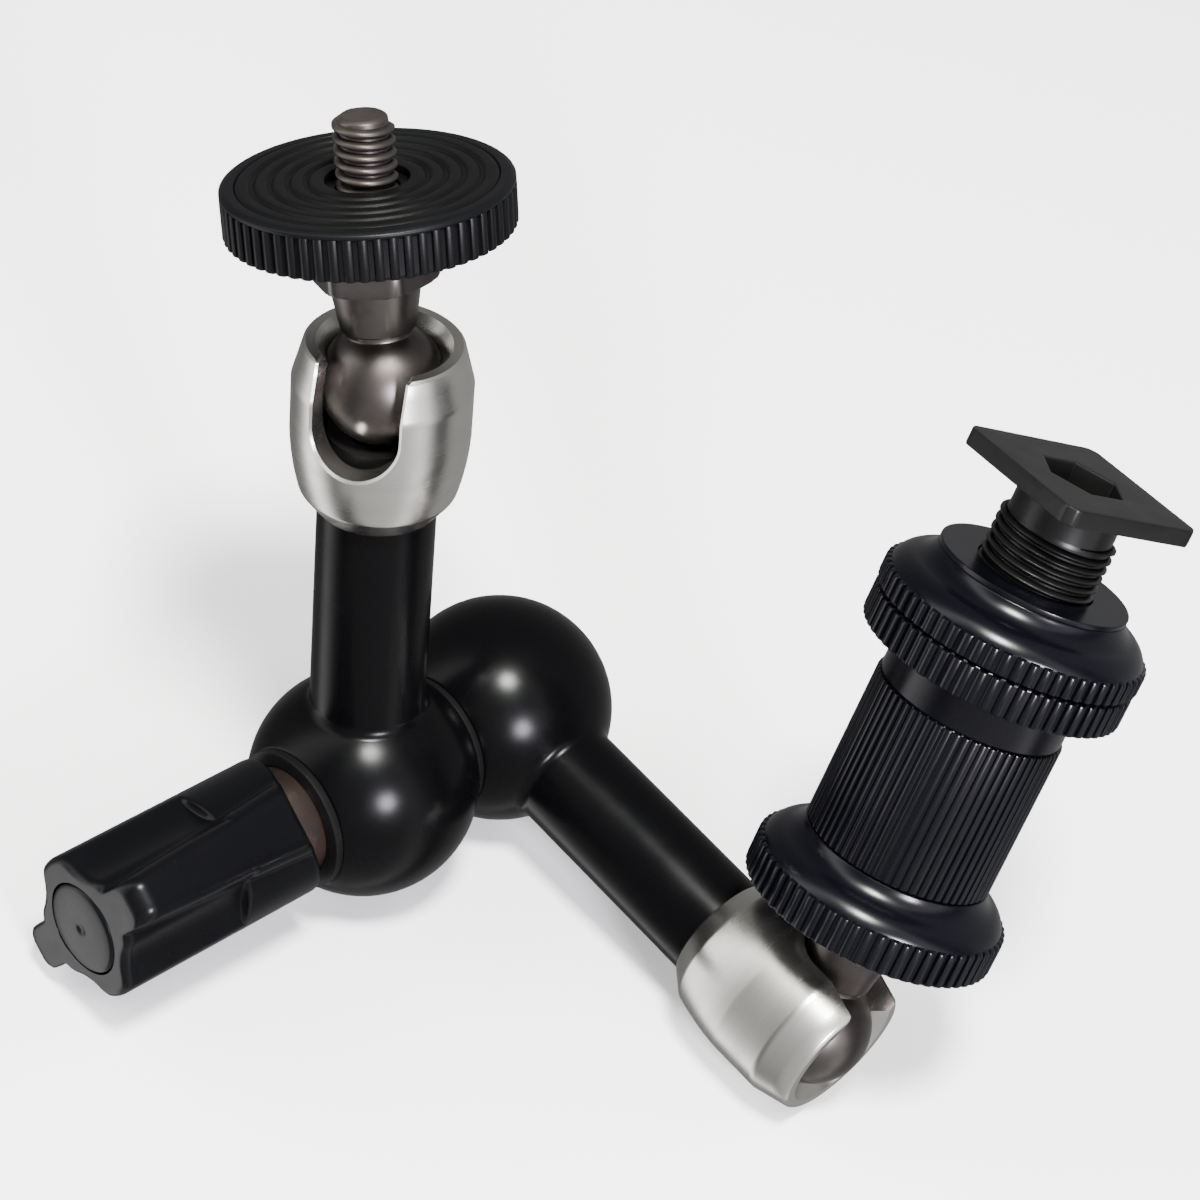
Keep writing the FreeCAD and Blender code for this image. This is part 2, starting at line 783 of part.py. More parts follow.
def grip_pad():
    """Rubber ring in the disc's recess, with round grooves in its face."""
    floor = size.disc_top - size.disc_lip_height
    top = size.disc_top + size.disc_pad_proud
    count = int(size.pad_groove_count.value)
    step = (disc_lip_radius - size.disc_pad_bore) / (size.pad_groove_count + 1)
    half = size.pad_groove_width / 2
    corners = [(size.disc_pad_bore, floor), (disc_lip_radius, floor), (disc_lip_radius, top)]
    for number in range(count, 0, -1):
        middle = size.disc_pad_bore + step * number
        corners += [(middle + half, top), (middle, top - size.pad_groove_depth), (middle - half, top)]
    corners.append((size.disc_pad_bore, top))
    return turned("grip_pad", corners)


# Shoe adapter, in the lower stud's frame

def dome(rim_radius, rim_top, neck_radius, neck_top):
    """Bell from a rim to a neck: a round shoulder, then a hollow fillet."""
    start = rim_radius - size.wheel_land
    shoulder = start - size.dome_shoulder_in
    return [
        (rim_radius, rim_top),
        (start, rim_top, size.dome_shoulder_round),
        (shoulder, rim_top + size.dome_shoulder_rise, -size.dome_hollow_round),
        (neck_radius, neck_top),
    ]


def lock_wheel():
    edge = size.wheel_edge
    body = turned("lock_wheel", [
        (screw_bore_radius, size.lock_wheel_bottom),
        (size.lock_wheel_radius - edge, size.lock_wheel_bottom),
        (size.lock_wheel_radius, size.lock_wheel_bottom + edge),
        (size.lock_wheel_radius, size.lock_wheel_rim_top - edge),
    ] + dome(size.lock_wheel_radius - edge, size.lock_wheel_rim_top,
             size.barrel_radius, size.barrel_bottom) + [
        (screw_bore_radius, size.barrel_bottom),
    ])
    ribbed(body, size.lock_wheel_radius, size.lock_wheel_bottom, size.lock_wheel_rim_top,
           size.rib_count, size.rib_depth, size.rib_valley_width, size.rib_valley_floor)
    return body


def adapter_barrel():
    """Knurled barrel: the stud's screw enters below, the shoe's stem above."""
    edge = size.barrel_edge
    body = turned("adapter_barrel", [
        (screw_bore_radius, size.barrel_bottom),
        (size.barrel_radius - edge, size.barrel_bottom),
        (size.barrel_radius, size.barrel_bottom + edge),
        (size.barrel_radius, size.barrel_top - edge),
        (size.barrel_radius - edge, size.barrel_top),
        (size.stem_radius, size.barrel_top),
        (size.stem_radius, size.barrel_floor),
        (screw_bore_radius, size.barrel_floor),
    ])
    ribbed(body, size.barrel_radius, size.barrel_bottom, size.barrel_top, size.knurl_count,
           size.knurl_depth, size.knurl_valley_width, size.knurl_valley_floor)
    return body


def jam_wheel():
    """Ribbed wheel with a plain hub that bears on the barrel."""
    edge = size.wheel_edge
    body = turned("jam_wheel", [
        (stem_bore_radius, size.barrel_top),
        (size.jam_hub_radius, size.barrel_top),
        (size.jam_hub_radius, size.jam_wheel_bottom),
        (size.jam_wheel_radius - edge, size.jam_wheel_bottom),
        (size.jam_wheel_radius, size.jam_wheel_bottom + edge),
        (size.jam_wheel_radius, size.jam_wheel_top - edge),
        (size.jam_wheel_radius - edge, size.jam_wheel_top),
        (stem_bore_radius, size.jam_wheel_top),
    ])
    ribbed(body, size.jam_wheel_radius, size.jam_wheel_bottom, size.jam_wheel_top,
           size.rib_count, size.rib_depth, size.rib_valley_width, size.rib_valley_floor)
    return body


def clamp_wheel():
    edge = size.wheel_edge
    body = turned("clamp_wheel", [
        (stem_bore_radius, size.clamp_wheel_bottom),
        (size.clamp_wheel_radius - edge, size.clamp_wheel_bottom),
        (size.clamp_wheel_radius, size.clamp_wheel_bottom + edge),
        (size.clamp_wheel_radius, size.clamp_wheel_rim_top - edge),
    ] + dome(size.clamp_wheel_radius - edge, size.clamp_wheel_rim_top,
             size.barrel_radius, size.clamp_wheel_top) + [
        (stem_bore_radius, size.clamp_wheel_top),
    ])
    ribbed(body, size.clamp_wheel_radius, size.clamp_wheel_bottom, size.clamp_wheel_rim_top,
           size.rib_count, size.rib_depth, size.rib_valley_width, size.rib_valley_floor)
    return body


def shoe_stem():
    """Threaded stem with the square shoe foot and its hexagon socket."""
    edge = size.stem_edge
    body = turned("shoe_stem", [
        (size.stem_hole_radius, size.barrel_floor),
        (size.stem_radius - edge, size.barrel_floor),
        (size.stem_radius, size.barrel_floor + edge),
        (size.stem_radius, size.stem_thread_end - edge),
        (size.stem_radius - edge, size.stem_thread_end),
        (size.stem_neck_radius, size.stem_thread_end),
        (size.stem_neck_radius, size.foot_bottom),
        (size.stem_hole_radius, size.foot_bottom),
    ])
    side = size.foot_width / 2
    turn_in = leg(size.foot_corner_radius, side)
    corner = size.foot_corner_radius
    foot = outline(body, "XY_Plane", "foot_outline", [
        (side, -turn_in), (side, turn_in, corner),
        (turn_in, side), (-turn_in, side, corner),
        (-side, turn_in), (-side, -turn_in, corner),
        (-turn_in, -side), (turn_in, -side, corner),
    ], lift=size.foot_bottom)
    pad(body, "foot", foot, size.foot_top - size.foot_bottom)
    corners = [(across, up) for up, across in hexagon(size.foot_socket_flats)]
    socket = outline(body, "XY_Plane", "socket_outline", corners, lift=size.foot_top)
    pocket(body, "hexagon_socket", socket, size.foot_socket_depth, forwards=False)
    return body


# Places in the rest pose

def turn_about(axis, degrees):
    return FreeCAD.Rotation(FreeCAD.Vector(*axis), degrees)


def place(base, rotation):
    return FreeCAD.Placement(base, rotation)


def lying_angle():
    """How far the lower tube dips, so that its socket touches the table too."""
    reach = size.elbow_to_stud_ball.value + size.sleeve_wide_end.value
    width = size.sleeve_radius.value
    return math.degrees(math.asin(size.elbow_ball_radius.value / math.hypot(reach, width))
                        - math.atan2(width, reach))


def along(height):
    return FreeCAD.Placement(FreeCAD.Vector(0, 0, height.value), FreeCAD.Rotation())


upper_centre = FreeCAD.Vector(0, 0, size.elbow_ball_radius.value)
lower_centre = upper_centre + FreeCAD.Vector(0, elbow_spacing.value, 0)
upper_arm_place = place(upper_centre, turn_about((0, 1, 0), 90 - size.upper_arm_angle.value))
lower_arm_place = place(lower_centre, turn_about((0, 1, 0), 90 + lying_angle()))
knob_place = place(upper_centre, turn_about((0, 1, 0), size.knob_wing_turn.value)
                   * FreeCAD.Rotation(FreeCAD.Vector(0, 0, 1), FreeCAD.Vector(-1, 0, 0),
                                      FreeCAD.Vector(0, -1, 0), "ZXY"))


def socket_place(arm_place, slot_turn):
    tube = along(size.elbow_to_stud_ball)
    return arm_place * tube * place(FreeCAD.Vector(), turn_about((0, 0, 1), slot_turn.value))


def stud_place(arm_place, stud_turn, lean):
    tilt = turn_about((0, 0, 1), stud_turn.value) * turn_about((0, 1, 0), lean.value)
    return arm_place * along(size.elbow_to_stud_ball) * place(FreeCAD.Vector(), tilt)


upper_socket = socket_place(upper_arm_place, size.upper_slot_turn)
lower_socket = socket_place(lower_arm_place, size.lower_slot_turn)
upper_stud = stud_place(upper_arm_place, size.upper_stud_turn, size.upper_stud_lean)
lower_stud = stud_place(lower_arm_place, size.lower_slot_turn, size.lower_stud_lean)


def about_own_z(base, degrees):
    return base * place(FreeCAD.Vector(), turn_about((0, 0, 1), degrees.value))



# Build: each piece with the place it rests in

washer_end = elbow_flat + size.dust_washer_thickness
pieces = (
    (ball_arm("upper_arm", -1), upper_arm_place),
    (ball_arm("lower_arm", 1), lower_arm_place),
    (washer("elbow_washer", size.elbow_washer_bore, flat_edge_radius,
            -elbow_flat - size.elbow_washer_thickness, -elbow_flat), knob_place),
    (washer("dust_washer", size.bushing_radius + size.dust_washer_gap, flat_edge_radius,
            elbow_flat, washer_end), knob_place),
    (draw_bolt(), knob_place),
    (cone_wedge(), knob_place),
    (thrust_bushing(), knob_place),
    (release_spring(), knob_place),
    (knob_body(), knob_place),
    (knob_insert(), knob_place),
    (knob_cap(), knob_place),
    (push_rod("upper_push_rod"), upper_arm_place),
    (push_rod("lower_push_rod"), lower_arm_place),
    (ball_seat("upper_ball_seat"), upper_socket),
    (ball_seat("lower_ball_seat"), lower_socket),
    (socket_sleeve("upper_socket_sleeve"), upper_socket),
    (socket_sleeve("lower_socket_sleeve"), lower_socket),
    (retaining_ring("upper_retaining_ring"), upper_socket),
    (retaining_ring("lower_retaining_ring"), lower_socket),
    (ball_stud("upper_ball_stud"), about_own_z(upper_stud, size.upper_hexagon_turn)),
    (ball_stud("lower_ball_stud"), lower_stud),
    (mounting_disc(), upper_stud),
    (grip_pad(), upper_stud),
    (lock_wheel(), lower_stud),
    (adapter_barrel(), lower_stud),
    (jam_wheel(), lower_stud),
    (clamp_wheel(), lower_stud),
    (washer("pressure_washer", stem_bore_radius, size.barrel_radius,
            size.clamp_wheel_top, size.pressure_washer_top), lower_stud),
    (shoe_stem(), about_own_z(lower_stud, size.foot_turn)),
)
for piece, where in pieces:
    piece.Placement = where
doc.recompute()

# The row frame's origin is below the middle of the whole arm, on the table.
whole = FreeCAD.BoundBox()
for piece in subparts:
    whole.add(piece.Shape.optimalBoundingBox(False, False))
shift = FreeCAD.Vector(-(whole.XMin + whole.XMax) / 2, -(whole.YMin + whole.YMax) / 2, -whole.ZMin)
for piece in subparts:
    piece.Placement = place(shift, FreeCAD.Rotation()) * piece.Placement
doc.recompute()

for item in doc.Objects:
    if "Invalid" in item.State or "Error" in item.State:
        raise RuntimeError(f"{item.Label} failed: {item.State}")
for piece in subparts:
    if piece.Shape.isNull() or not piece.Shape.isValid() or len(piece.Shape.Solids) != 1:
        raise RuntimeError(f"{piece.Label} has no valid solid")

os.makedirs("parts", exist_ok=True)
for piece in subparts:
    piece.Shape.exportStep(f"parts/{piece.Label}.step")
    print(f"{piece.Label}: {piece.Shape.Volume:.1f} mm3")
print("shift", [round(v, 4) for v in shift])
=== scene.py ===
"""Looks of an articulating friction arm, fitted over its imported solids."""

import json
import logging
import math
from dataclasses import dataclass, field
from enum import Enum
from typing import Sequence

import bmesh
import bpy
import numpy as np
from mathutils import Matrix, Vector


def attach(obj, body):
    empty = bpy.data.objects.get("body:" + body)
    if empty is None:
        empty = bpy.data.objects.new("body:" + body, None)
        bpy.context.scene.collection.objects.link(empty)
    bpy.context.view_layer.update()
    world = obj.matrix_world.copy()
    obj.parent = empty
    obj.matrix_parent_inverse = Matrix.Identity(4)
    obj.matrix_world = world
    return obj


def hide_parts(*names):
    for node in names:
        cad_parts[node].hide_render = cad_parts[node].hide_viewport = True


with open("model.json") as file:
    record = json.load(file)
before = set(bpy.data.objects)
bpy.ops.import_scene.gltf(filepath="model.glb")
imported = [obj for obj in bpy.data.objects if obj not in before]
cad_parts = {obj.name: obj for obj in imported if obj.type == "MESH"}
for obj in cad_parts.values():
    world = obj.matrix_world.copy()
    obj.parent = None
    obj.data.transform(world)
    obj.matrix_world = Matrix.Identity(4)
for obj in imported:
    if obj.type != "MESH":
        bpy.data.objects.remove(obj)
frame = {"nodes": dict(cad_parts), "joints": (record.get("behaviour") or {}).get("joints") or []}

MM = 0.001
SIDES = 192
ON_AXIS = 1e-6
SHARP_ANGLE = math.radians(32)
SOFT_ANGLE = math.radians(14)
CORNER_SHARE = 0.45
log = logging.getLogger("friction_arm")

Point = tuple[float, float]
Colour = tuple[float, float, float]
Socket = tuple[str, str]


# Places

@dataclass(frozen=True)
class Place:
    """A local frame with its origin in metres and its X and Z in world axes."""

    origin: Vector
    x: Vector
    z: Vector

    @property
    def y(self) -> Vector:
        """The frame's Y direction."""
        return self.z.cross(self.x)

    def turned(self, degrees: float) -> "Place":
        """The same frame turned about its own Z.

        Args:
            degrees: How far to turn it.

        Returns:
            The turned frame.
        """
        turn = Matrix.Rotation(math.radians(degrees), 3, self.z)
        return Place(self.origin, turn @ self.x, self.z)

    def matrix(self) -> np.ndarray:
        """The rotation from local to world directions, as a 3 by 3 array."""
        return np.array([self.x, self.y, self.z]).T


def joint_line(name: str) -> tuple[Vector, Vector]:
    """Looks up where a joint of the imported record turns.

    Args:
        name: The joint's name.

    Returns:
        A point on its axis in metres, and the axis direction.
    """
    entry = next(joint for joint in frame["joints"] if joint["name"] == name)
    return Vector(entry["pos_m"]), Vector(entry["axis"]).normalized()


ELBOW_SPACING = 21.0
UPPER_SLOT_TURN = -62.1
LOWER_SLOT_TURN = 157.1
WING_TURN = 32.5
HEXAGON_TURN = -18.0
FOOT_TURN = -21.4


class Layout:
    """Every local frame of the arm in its rest pose."""

    def __init__(self) -> None:
        """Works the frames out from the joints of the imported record."""
        self.upper_centre, along_elbow = joint_line("knob_turn")
        self.elbow_axis = along_elbow
        self.lower_centre = self.upper_centre + along_elbow * ELBOW_SPACING * MM
        wing = math.radians(WING_TURN)
        self.knob = Place(self.upper_centre, Vector((math.sin(wing), 0, math.cos(wing))),
                          -along_elbow)
        self.upper_arm = self.arm(self.upper_centre, "upper_socket_turn")
        self.lower_arm = self.arm(self.lower_centre, "lower_socket_turn")
        self.upper_socket = self.socket("upper_socket_turn", self.upper_arm, UPPER_SLOT_TURN)
        self.lower_socket = self.socket("lower_socket_turn", self.lower_arm, LOWER_SLOT_TURN)
        self.upper_stud = self.stud(self.upper_arm, "mounting_disc_turn")
        self.lower_stud = self.stud(self.lower_arm, "lock_wheel_turn")

    def arm(self, centre: Vector, socket_joint: str) -> Place:
        """Frame of a tube, with Z along it and Y along the elbow."""
        tube = joint_line(socket_joint)[1]
        return Place(centre, self.elbow_axis.cross(tube).normalized(), tube)

    def socket(self, socket_joint: str, arm: Place, slot_turn: float) -> Place:
        """Frame of a socket sleeve, with X through its slot."""
        centre = joint_line(socket_joint)[0]
        return Place(centre, arm.x, arm.z).turned(slot_turn)

    def stud(self, arm: Place, wheel_joint: str) -> Place:
        """Frame of a ball stud, with X away from the tube that holds it."""
        centre, along = joint_line(wheel_joint)
        across = (along * along.dot(arm.z) - arm.z).normalized()
        return Place(centre, across, along)


# Profiles, in millimetres as (radius, height)

def arc(centre: Point, radius: float, start: float, end: float, steps: int) -> list[Point]:
    """Points along a circular arc.

    Args:
        centre: The arc's centre.
        radius: Its radius.
        start: Its first angle in degrees.
        end: Its last angle in degrees.
        steps: How many straight pieces stand for it.

    Returns:
        The points, both ends included.
    """
    angles = np.radians(np.linspace(start, end, steps + 1))
    return [(centre[0] + radius * math.cos(a), centre[1] + radius * math.sin(a)) for a in angles]


def bend(start: Point, end: Point, radius: float, steps: int) -> list[Point]:
    """An arc from start to end that turns left for a radius over 0, else right."""
    first = Vector(start)
    chord = Vector(end) - first
    half = chord.length / 2
    rise = math.copysign(math.sqrt(max(radius * radius - half * half, 0.0)), radius)
    centre = first + chord / 2 + Vector((-chord.y, chord.x)).normalized() * rise
    angle = math.atan2(start[1] - centre.y, start[0] - centre.x)
    sweep = 2 * math.asin(min(1.0, half / abs(radius))) * math.copysign(1, radius)
    return arc(tuple(centre), abs(radius), math.degrees(angle),
               math.degrees(angle + sweep), steps)


def soften(corners: Sequence[Point], rounding: float, closed: bool = True,
           steps: int = 3) -> list[Point]:
    """Rounds the corners of a profile that turn by more than a few degrees.

    Args:
        corners: The profile's points.
        rounding: How far from a corner its rounding starts.
        closed: Whether the last point joins the first.
        steps: How many straight pieces stand for one rounded corner.

    Returns:
        The profile with its corners rounded.
    """
    places = [Vector(corner) for corner in corners]
    count = len(places)
    result: list[Point] = []
    for number, here in enumerate(places):
        if not closed and number in (0, count - 1):
            result.append(tuple(here))
            continue
        before = places[number - 1] - here
        after = places[(number + 1) % count] - here
        if before.length < ON_AXIS or after.length < ON_AXIS:
            continue
        if (-before).angle(after) < SOFT_ANGLE:
            result.append(tuple(here))
            continue
        start = here + before.normalized() * min(rounding, before.length * CORNER_SHARE)
        end = here + after.normalized() * min(rounding, after.length * CORNER_SHARE)
        for step in range(steps + 1):
            t = step / steps
            result.append(tuple(start * (1 - t) ** 2 + here * 2 * t * (1 - t) + end * t * t))
    return result


def smooth_max(first: np.ndarray, second: np.ndarray, reach: float) -> np.ndarray:
    """The larger of two distances, with a rounded change from one to the other."""
    share = np.clip(0.5 + 0.5 * (first - second) / reach, 0.0, 1.0)
    return second * (1 - share) + first * share + reach * share * (1 - share)


def smooth_min(first: np.ndarray, second: np.ndarray, reach: float) -> np.ndarray:
    """The smaller of two distances, with a rounded change from one to the other."""
    return -smooth_max(-first, -second, reach)


# Surfaces

@dataclass
class Surface:
    """Points in millimetres and the faces between them."""

    points: np.ndarray
    faces: list[tuple[int, ...]]

    def __add__(self, other: "Surface") -> "Surface":
        """Both surfaces as one."""
        shift = len(self.points)
        moved = [tuple(index + shift for index in face) for face in other.faces]
        return Surface(np.vstack([self.points, other.points]), self.faces + moved)

    def volume(self) -> float:
        """The signed volume, over 0 where the faces point outwards."""
        total = 0.0
        for face in self.faces:
            a, b, c = self.points[list(face[:3])]
            total += float(np.dot(a, np.cross(b, c)))
            if len(face) == 4:
                d = self.points[face[3]]
                total += float(np.dot(a, np.cross(c, d)))
        return total / 6

    def outward(self) -> "Surface":
        """The same surface with its faces pointing outwards."""
        if self.volume() > 0:
            return self
        return Surface(self.points, [face[::-1] for face in self.faces])

    def moved(self, base: Sequence[float], axes: np.ndarray) -> "Surface":
        """The surface in another frame.

        Args:
            base: The frame's origin in millimetres.
            axes: Its directions as columns.

        Returns:
            The surface with its points in the outer frame.
        """
        return Surface(self.points @ axes.T + np.array(base), self.faces)

    def mesh(self, name: str) -> bpy.types.Mesh:
        """Makes a mesh in metres, smooth apart from its sharp edges.

        Args:
            name: The mesh's name.

        Returns:
            The new mesh.
        """
        mesh = bpy.data.meshes.new(name)
        mesh.from_pydata((self.points * MM).tolist(), [], self.faces)
        mesh.polygons.foreach_set("use_smooth", [True] * len(self.faces))
        mesh.set_sharp_from_angle(angle=SHARP_ANGLE)
        mesh.update()
        return mesh


class Rings:
    """Rings of points about a local Z axis, joined into one closed surface."""

    def __init__(self, sides: int = SIDES) -> None:
        """Starts with no rings.

        Args:
            sides: How many points each ring has.
        """
        self.angles = np.arange(sides) * (2 * np.pi / sides)
        self.rows: list[np.ndarray] = []

    def add(self, radius: float | np.ndarray, height: float | np.ndarray) -> "Rings":
        """Adds a ring, or one point where the radius is zero.

        Args:
            radius: The ring's radius, or one radius for each point.
            height: Its height, or one height for each point.

        Returns:
            These rings.
        """
        if np.ndim(radius) == 0 and abs(float(radius)) < ON_AXIS:
            self.rows.append(np.array([[0.0, 0.0, float(np.mean(height))]]))
            return self
        row = np.zeros((len(self.angles), 3))
        row[:, 0] = radius * np.cos(self.angles)
        row[:, 1] = radius * np.sin(self.angles)
        row[:, 2] = height
        self.rows.append(row)
        return self

    def profile(self, points: Sequence[Point]) -> "Rings":
        """Adds one ring for each point of a profile."""
        for radius, height in points:
            self.add(radius, height)
        return self

    def surface(self) -> Surface:
        """Joins the rings: the last to the first unless both are poles."""
        starts = np.cumsum([0] + [len(row) for row in self.rows])
        sides = len(self.angles)
        pairs = list(zip(range(len(self.rows) - 1), range(1, len(self.rows))))
        if len(self.rows[0]) > 1 and len(self.rows[-1]) > 1:
            pairs.append((len(self.rows) - 1, 0))
        faces: list[tuple[int, ...]] = []
        for low, high in pairs:
            one, two = int(starts[low]), int(starts[high])
            for side in range(sides):
                after = (side + 1) % sides
                if len(self.rows[low]) == 1:
                    faces.append((one, two + after, two + side))
                elif len(self.rows[high]) == 1:
                    faces.append((one + side, one + after, two))
                else:
                    faces.append((one + side, one + after, two + after, two + side))
        return Surface(np.vstack(self.rows), faces).outward()


def turned(points: Sequence[Point], rounding: float = 0.15, sides: int = SIDES) -> Surface:
    """Turns a profile into a surface, as a lathe does.

    Args:
        points: The profile. It starts and ends on the axis, or joins up.
        rounding: How far its corners are rounded.
        sides: How many points stand for a circle.

    Returns:
        The closed surface.
    """
    on_axis = abs(points[0][0]) < ON_AXIS
    profile = soften(points, rounding, closed=not on_axis)
    return Rings(sides).profile(profile).surface()


# Node trees

class Graph:
    """A node tree that grows by one call for each node."""

    def __init__(self, tree: bpy.types.NodeTree) -> None:
        """Keeps the tree."""
        self.tree = tree

    @classmethod
    def group(cls, name: str, kind: str, inputs: Sequence[Socket],
              outputs: Sequence[Socket]) -> "Graph":
        """Starts a node group with its sockets.

        Args:
            name: The group's name.
            kind: The type of its tree.
            inputs: Name and type of each input.
            outputs: Name and type of each output.

        Returns:
            The graph of the new group.
        """
        tree = bpy.data.node_groups.new(name, kind)
        for way, sockets in (("INPUT", inputs), ("OUTPUT", outputs)):
            for label, sort in sockets:
                tree.interface.new_socket(name=label, in_out=way, socket_type=sort)
        return cls(tree)

    def feed(self, node: bpy.types.Node, name: str | int, value: object) -> None:
        """Sets an input of a node, or links it where the value is a socket."""
        if isinstance(value, bpy.types.NodeSocket):
            self.tree.links.new(value, node.inputs[name])
        else:
            node.inputs[name].default_value = value

    def add(self, kind: str, inputs: dict[str | int, object] | None = None,
            **settings: object) -> bpy.types.NodeOutputs:
        """Adds a node.

        Args:
            kind: The node's type.
            inputs: For each input its value, or the socket that feeds it.
            settings: The node's own settings, such as its operation.

        Returns:
            The new node's outputs.
        """
        node = self.tree.nodes.new(kind)
        for name, value in settings.items():
            setattr(node, name, value)
        for name, value in (inputs or {}).items():
            self.feed(node, name, value)
        return node.outputs


def singles(*names: str) -> list[Socket]:
    """Sockets for single values."""
    return [(name, "NodeSocketFloat") for name in names]


# Finishes

GRAIN_SCALE = 9000.0
PATCH_SCALE = 220.0
TOOL_LINE_SCALE = 14000.0
SHADE_SCALE = 420.0
SPECK_SCALE = 1800.0
BUMP_DISTANCE = 0.0001
DULL_RANGE = (0.3, 0.7)
PATCH_RANGE = (0.4, 0.65)


class Effect(Enum):
    """Surface effects that more than one finish shares."""

    GRAIN = "fine grain"
    TURNED = "turned rings"
    SPECKS = "dust specks"


class EffectShelf:
    """Builds each shared shader group once."""

    def __init__(self) -> None:
        """Starts with no groups."""
        self.groups: dict[Effect, bpy.types.NodeTree] = {}

    def get(self, effect: Effect) -> bpy.types.NodeTree:
        """The group of an effect, built when it is first wanted."""
        if effect not in self.groups:
            makers = {Effect.GRAIN: self.grain, Effect.TURNED: self.rings,
                      Effect.SPECKS: self.specks}
            self.groups[effect] = makers[effect](effect.value)
        return self.groups[effect]

    @staticmethod
    def start(name: str, inputs: Sequence[Socket], outputs: Sequence[str]
              ) -> tuple[Graph, bpy.types.NodeOutputs]:
        """Starts an effect's group, and gives its graph and what it is handed."""
        inputs = [("Vector", "NodeSocketVector"), *inputs]
        graph = Graph.group(name, "ShaderNodeTree", inputs, singles(*outputs))
        return graph, graph.add("NodeGroupInput")

    def grain(self, name: str) -> bpy.types.NodeTree:
        """Even fine noise, for moulded and anodised surfaces."""
        graph, given = self.start(name, singles("Scale"), ("Height", "Patches"))
        fine = graph.add("ShaderNodeTexNoise", {
            "Vector": given["Vector"], "Scale": given["Scale"], "Detail": 4.0})
        broad = graph.add("ShaderNodeTexNoise", {
            "Vector": given["Vector"], "Scale": PATCH_SCALE, "Detail": 3.0})
        graph.add("NodeGroupOutput", {"Height": fine["Fac"], "Patches": broad["Fac"]})
        return graph.tree

    def rings(self, name: str) -> bpy.types.NodeTree:
        """Fine lines round an axis, as a cutting tool leaves them."""
        graph, given = self.start(name, [("Axis", "NodeSocketVector"), *singles("Scale")],
                                  ("Height", "Shade"))
        along = graph.add("ShaderNodeVectorMath", {0: given["Vector"], 1: given["Axis"]},
                          operation="DOT_PRODUCT")["Value"]
        fine = graph.add("ShaderNodeTexNoise", {
            "W": along, "Scale": given["Scale"], "Detail": 5.0, "Roughness": 0.7,
        }, noise_dimensions="1D")
        broad = graph.add("ShaderNodeTexNoise", {
            "W": along, "Scale": SHADE_SCALE, "Detail": 2.0}, noise_dimensions="1D")
        graph.add("NodeGroupOutput", {"Height": fine["Fac"], "Shade": broad["Fac"]})
        return graph.tree

    def specks(self, name: str) -> bpy.types.NodeTree:
        """Sparse small spots, for dust and rubbed marks."""
        graph, given = self.start(name, singles("Scale", "Cover"), ("Mask",))
        noise = graph.add("ShaderNodeTexNoise", {
            "Vector": given["Vector"], "Scale": given["Scale"], "Detail": 6.0,
            "Roughness": 0.75})
        edge = graph.add("ShaderNodeMath", {0: 1.0, 1: given["Cover"]}, operation="SUBTRACT")
        above = graph.add("ShaderNodeMapRange", {
            "Value": noise["Fac"], "From Min": edge["Value"], "From Max": 1.0})
        graph.add("NodeGroupOutput", {"Mask": above["Result"]})
        return graph.tree


SHELF = EffectShelf()


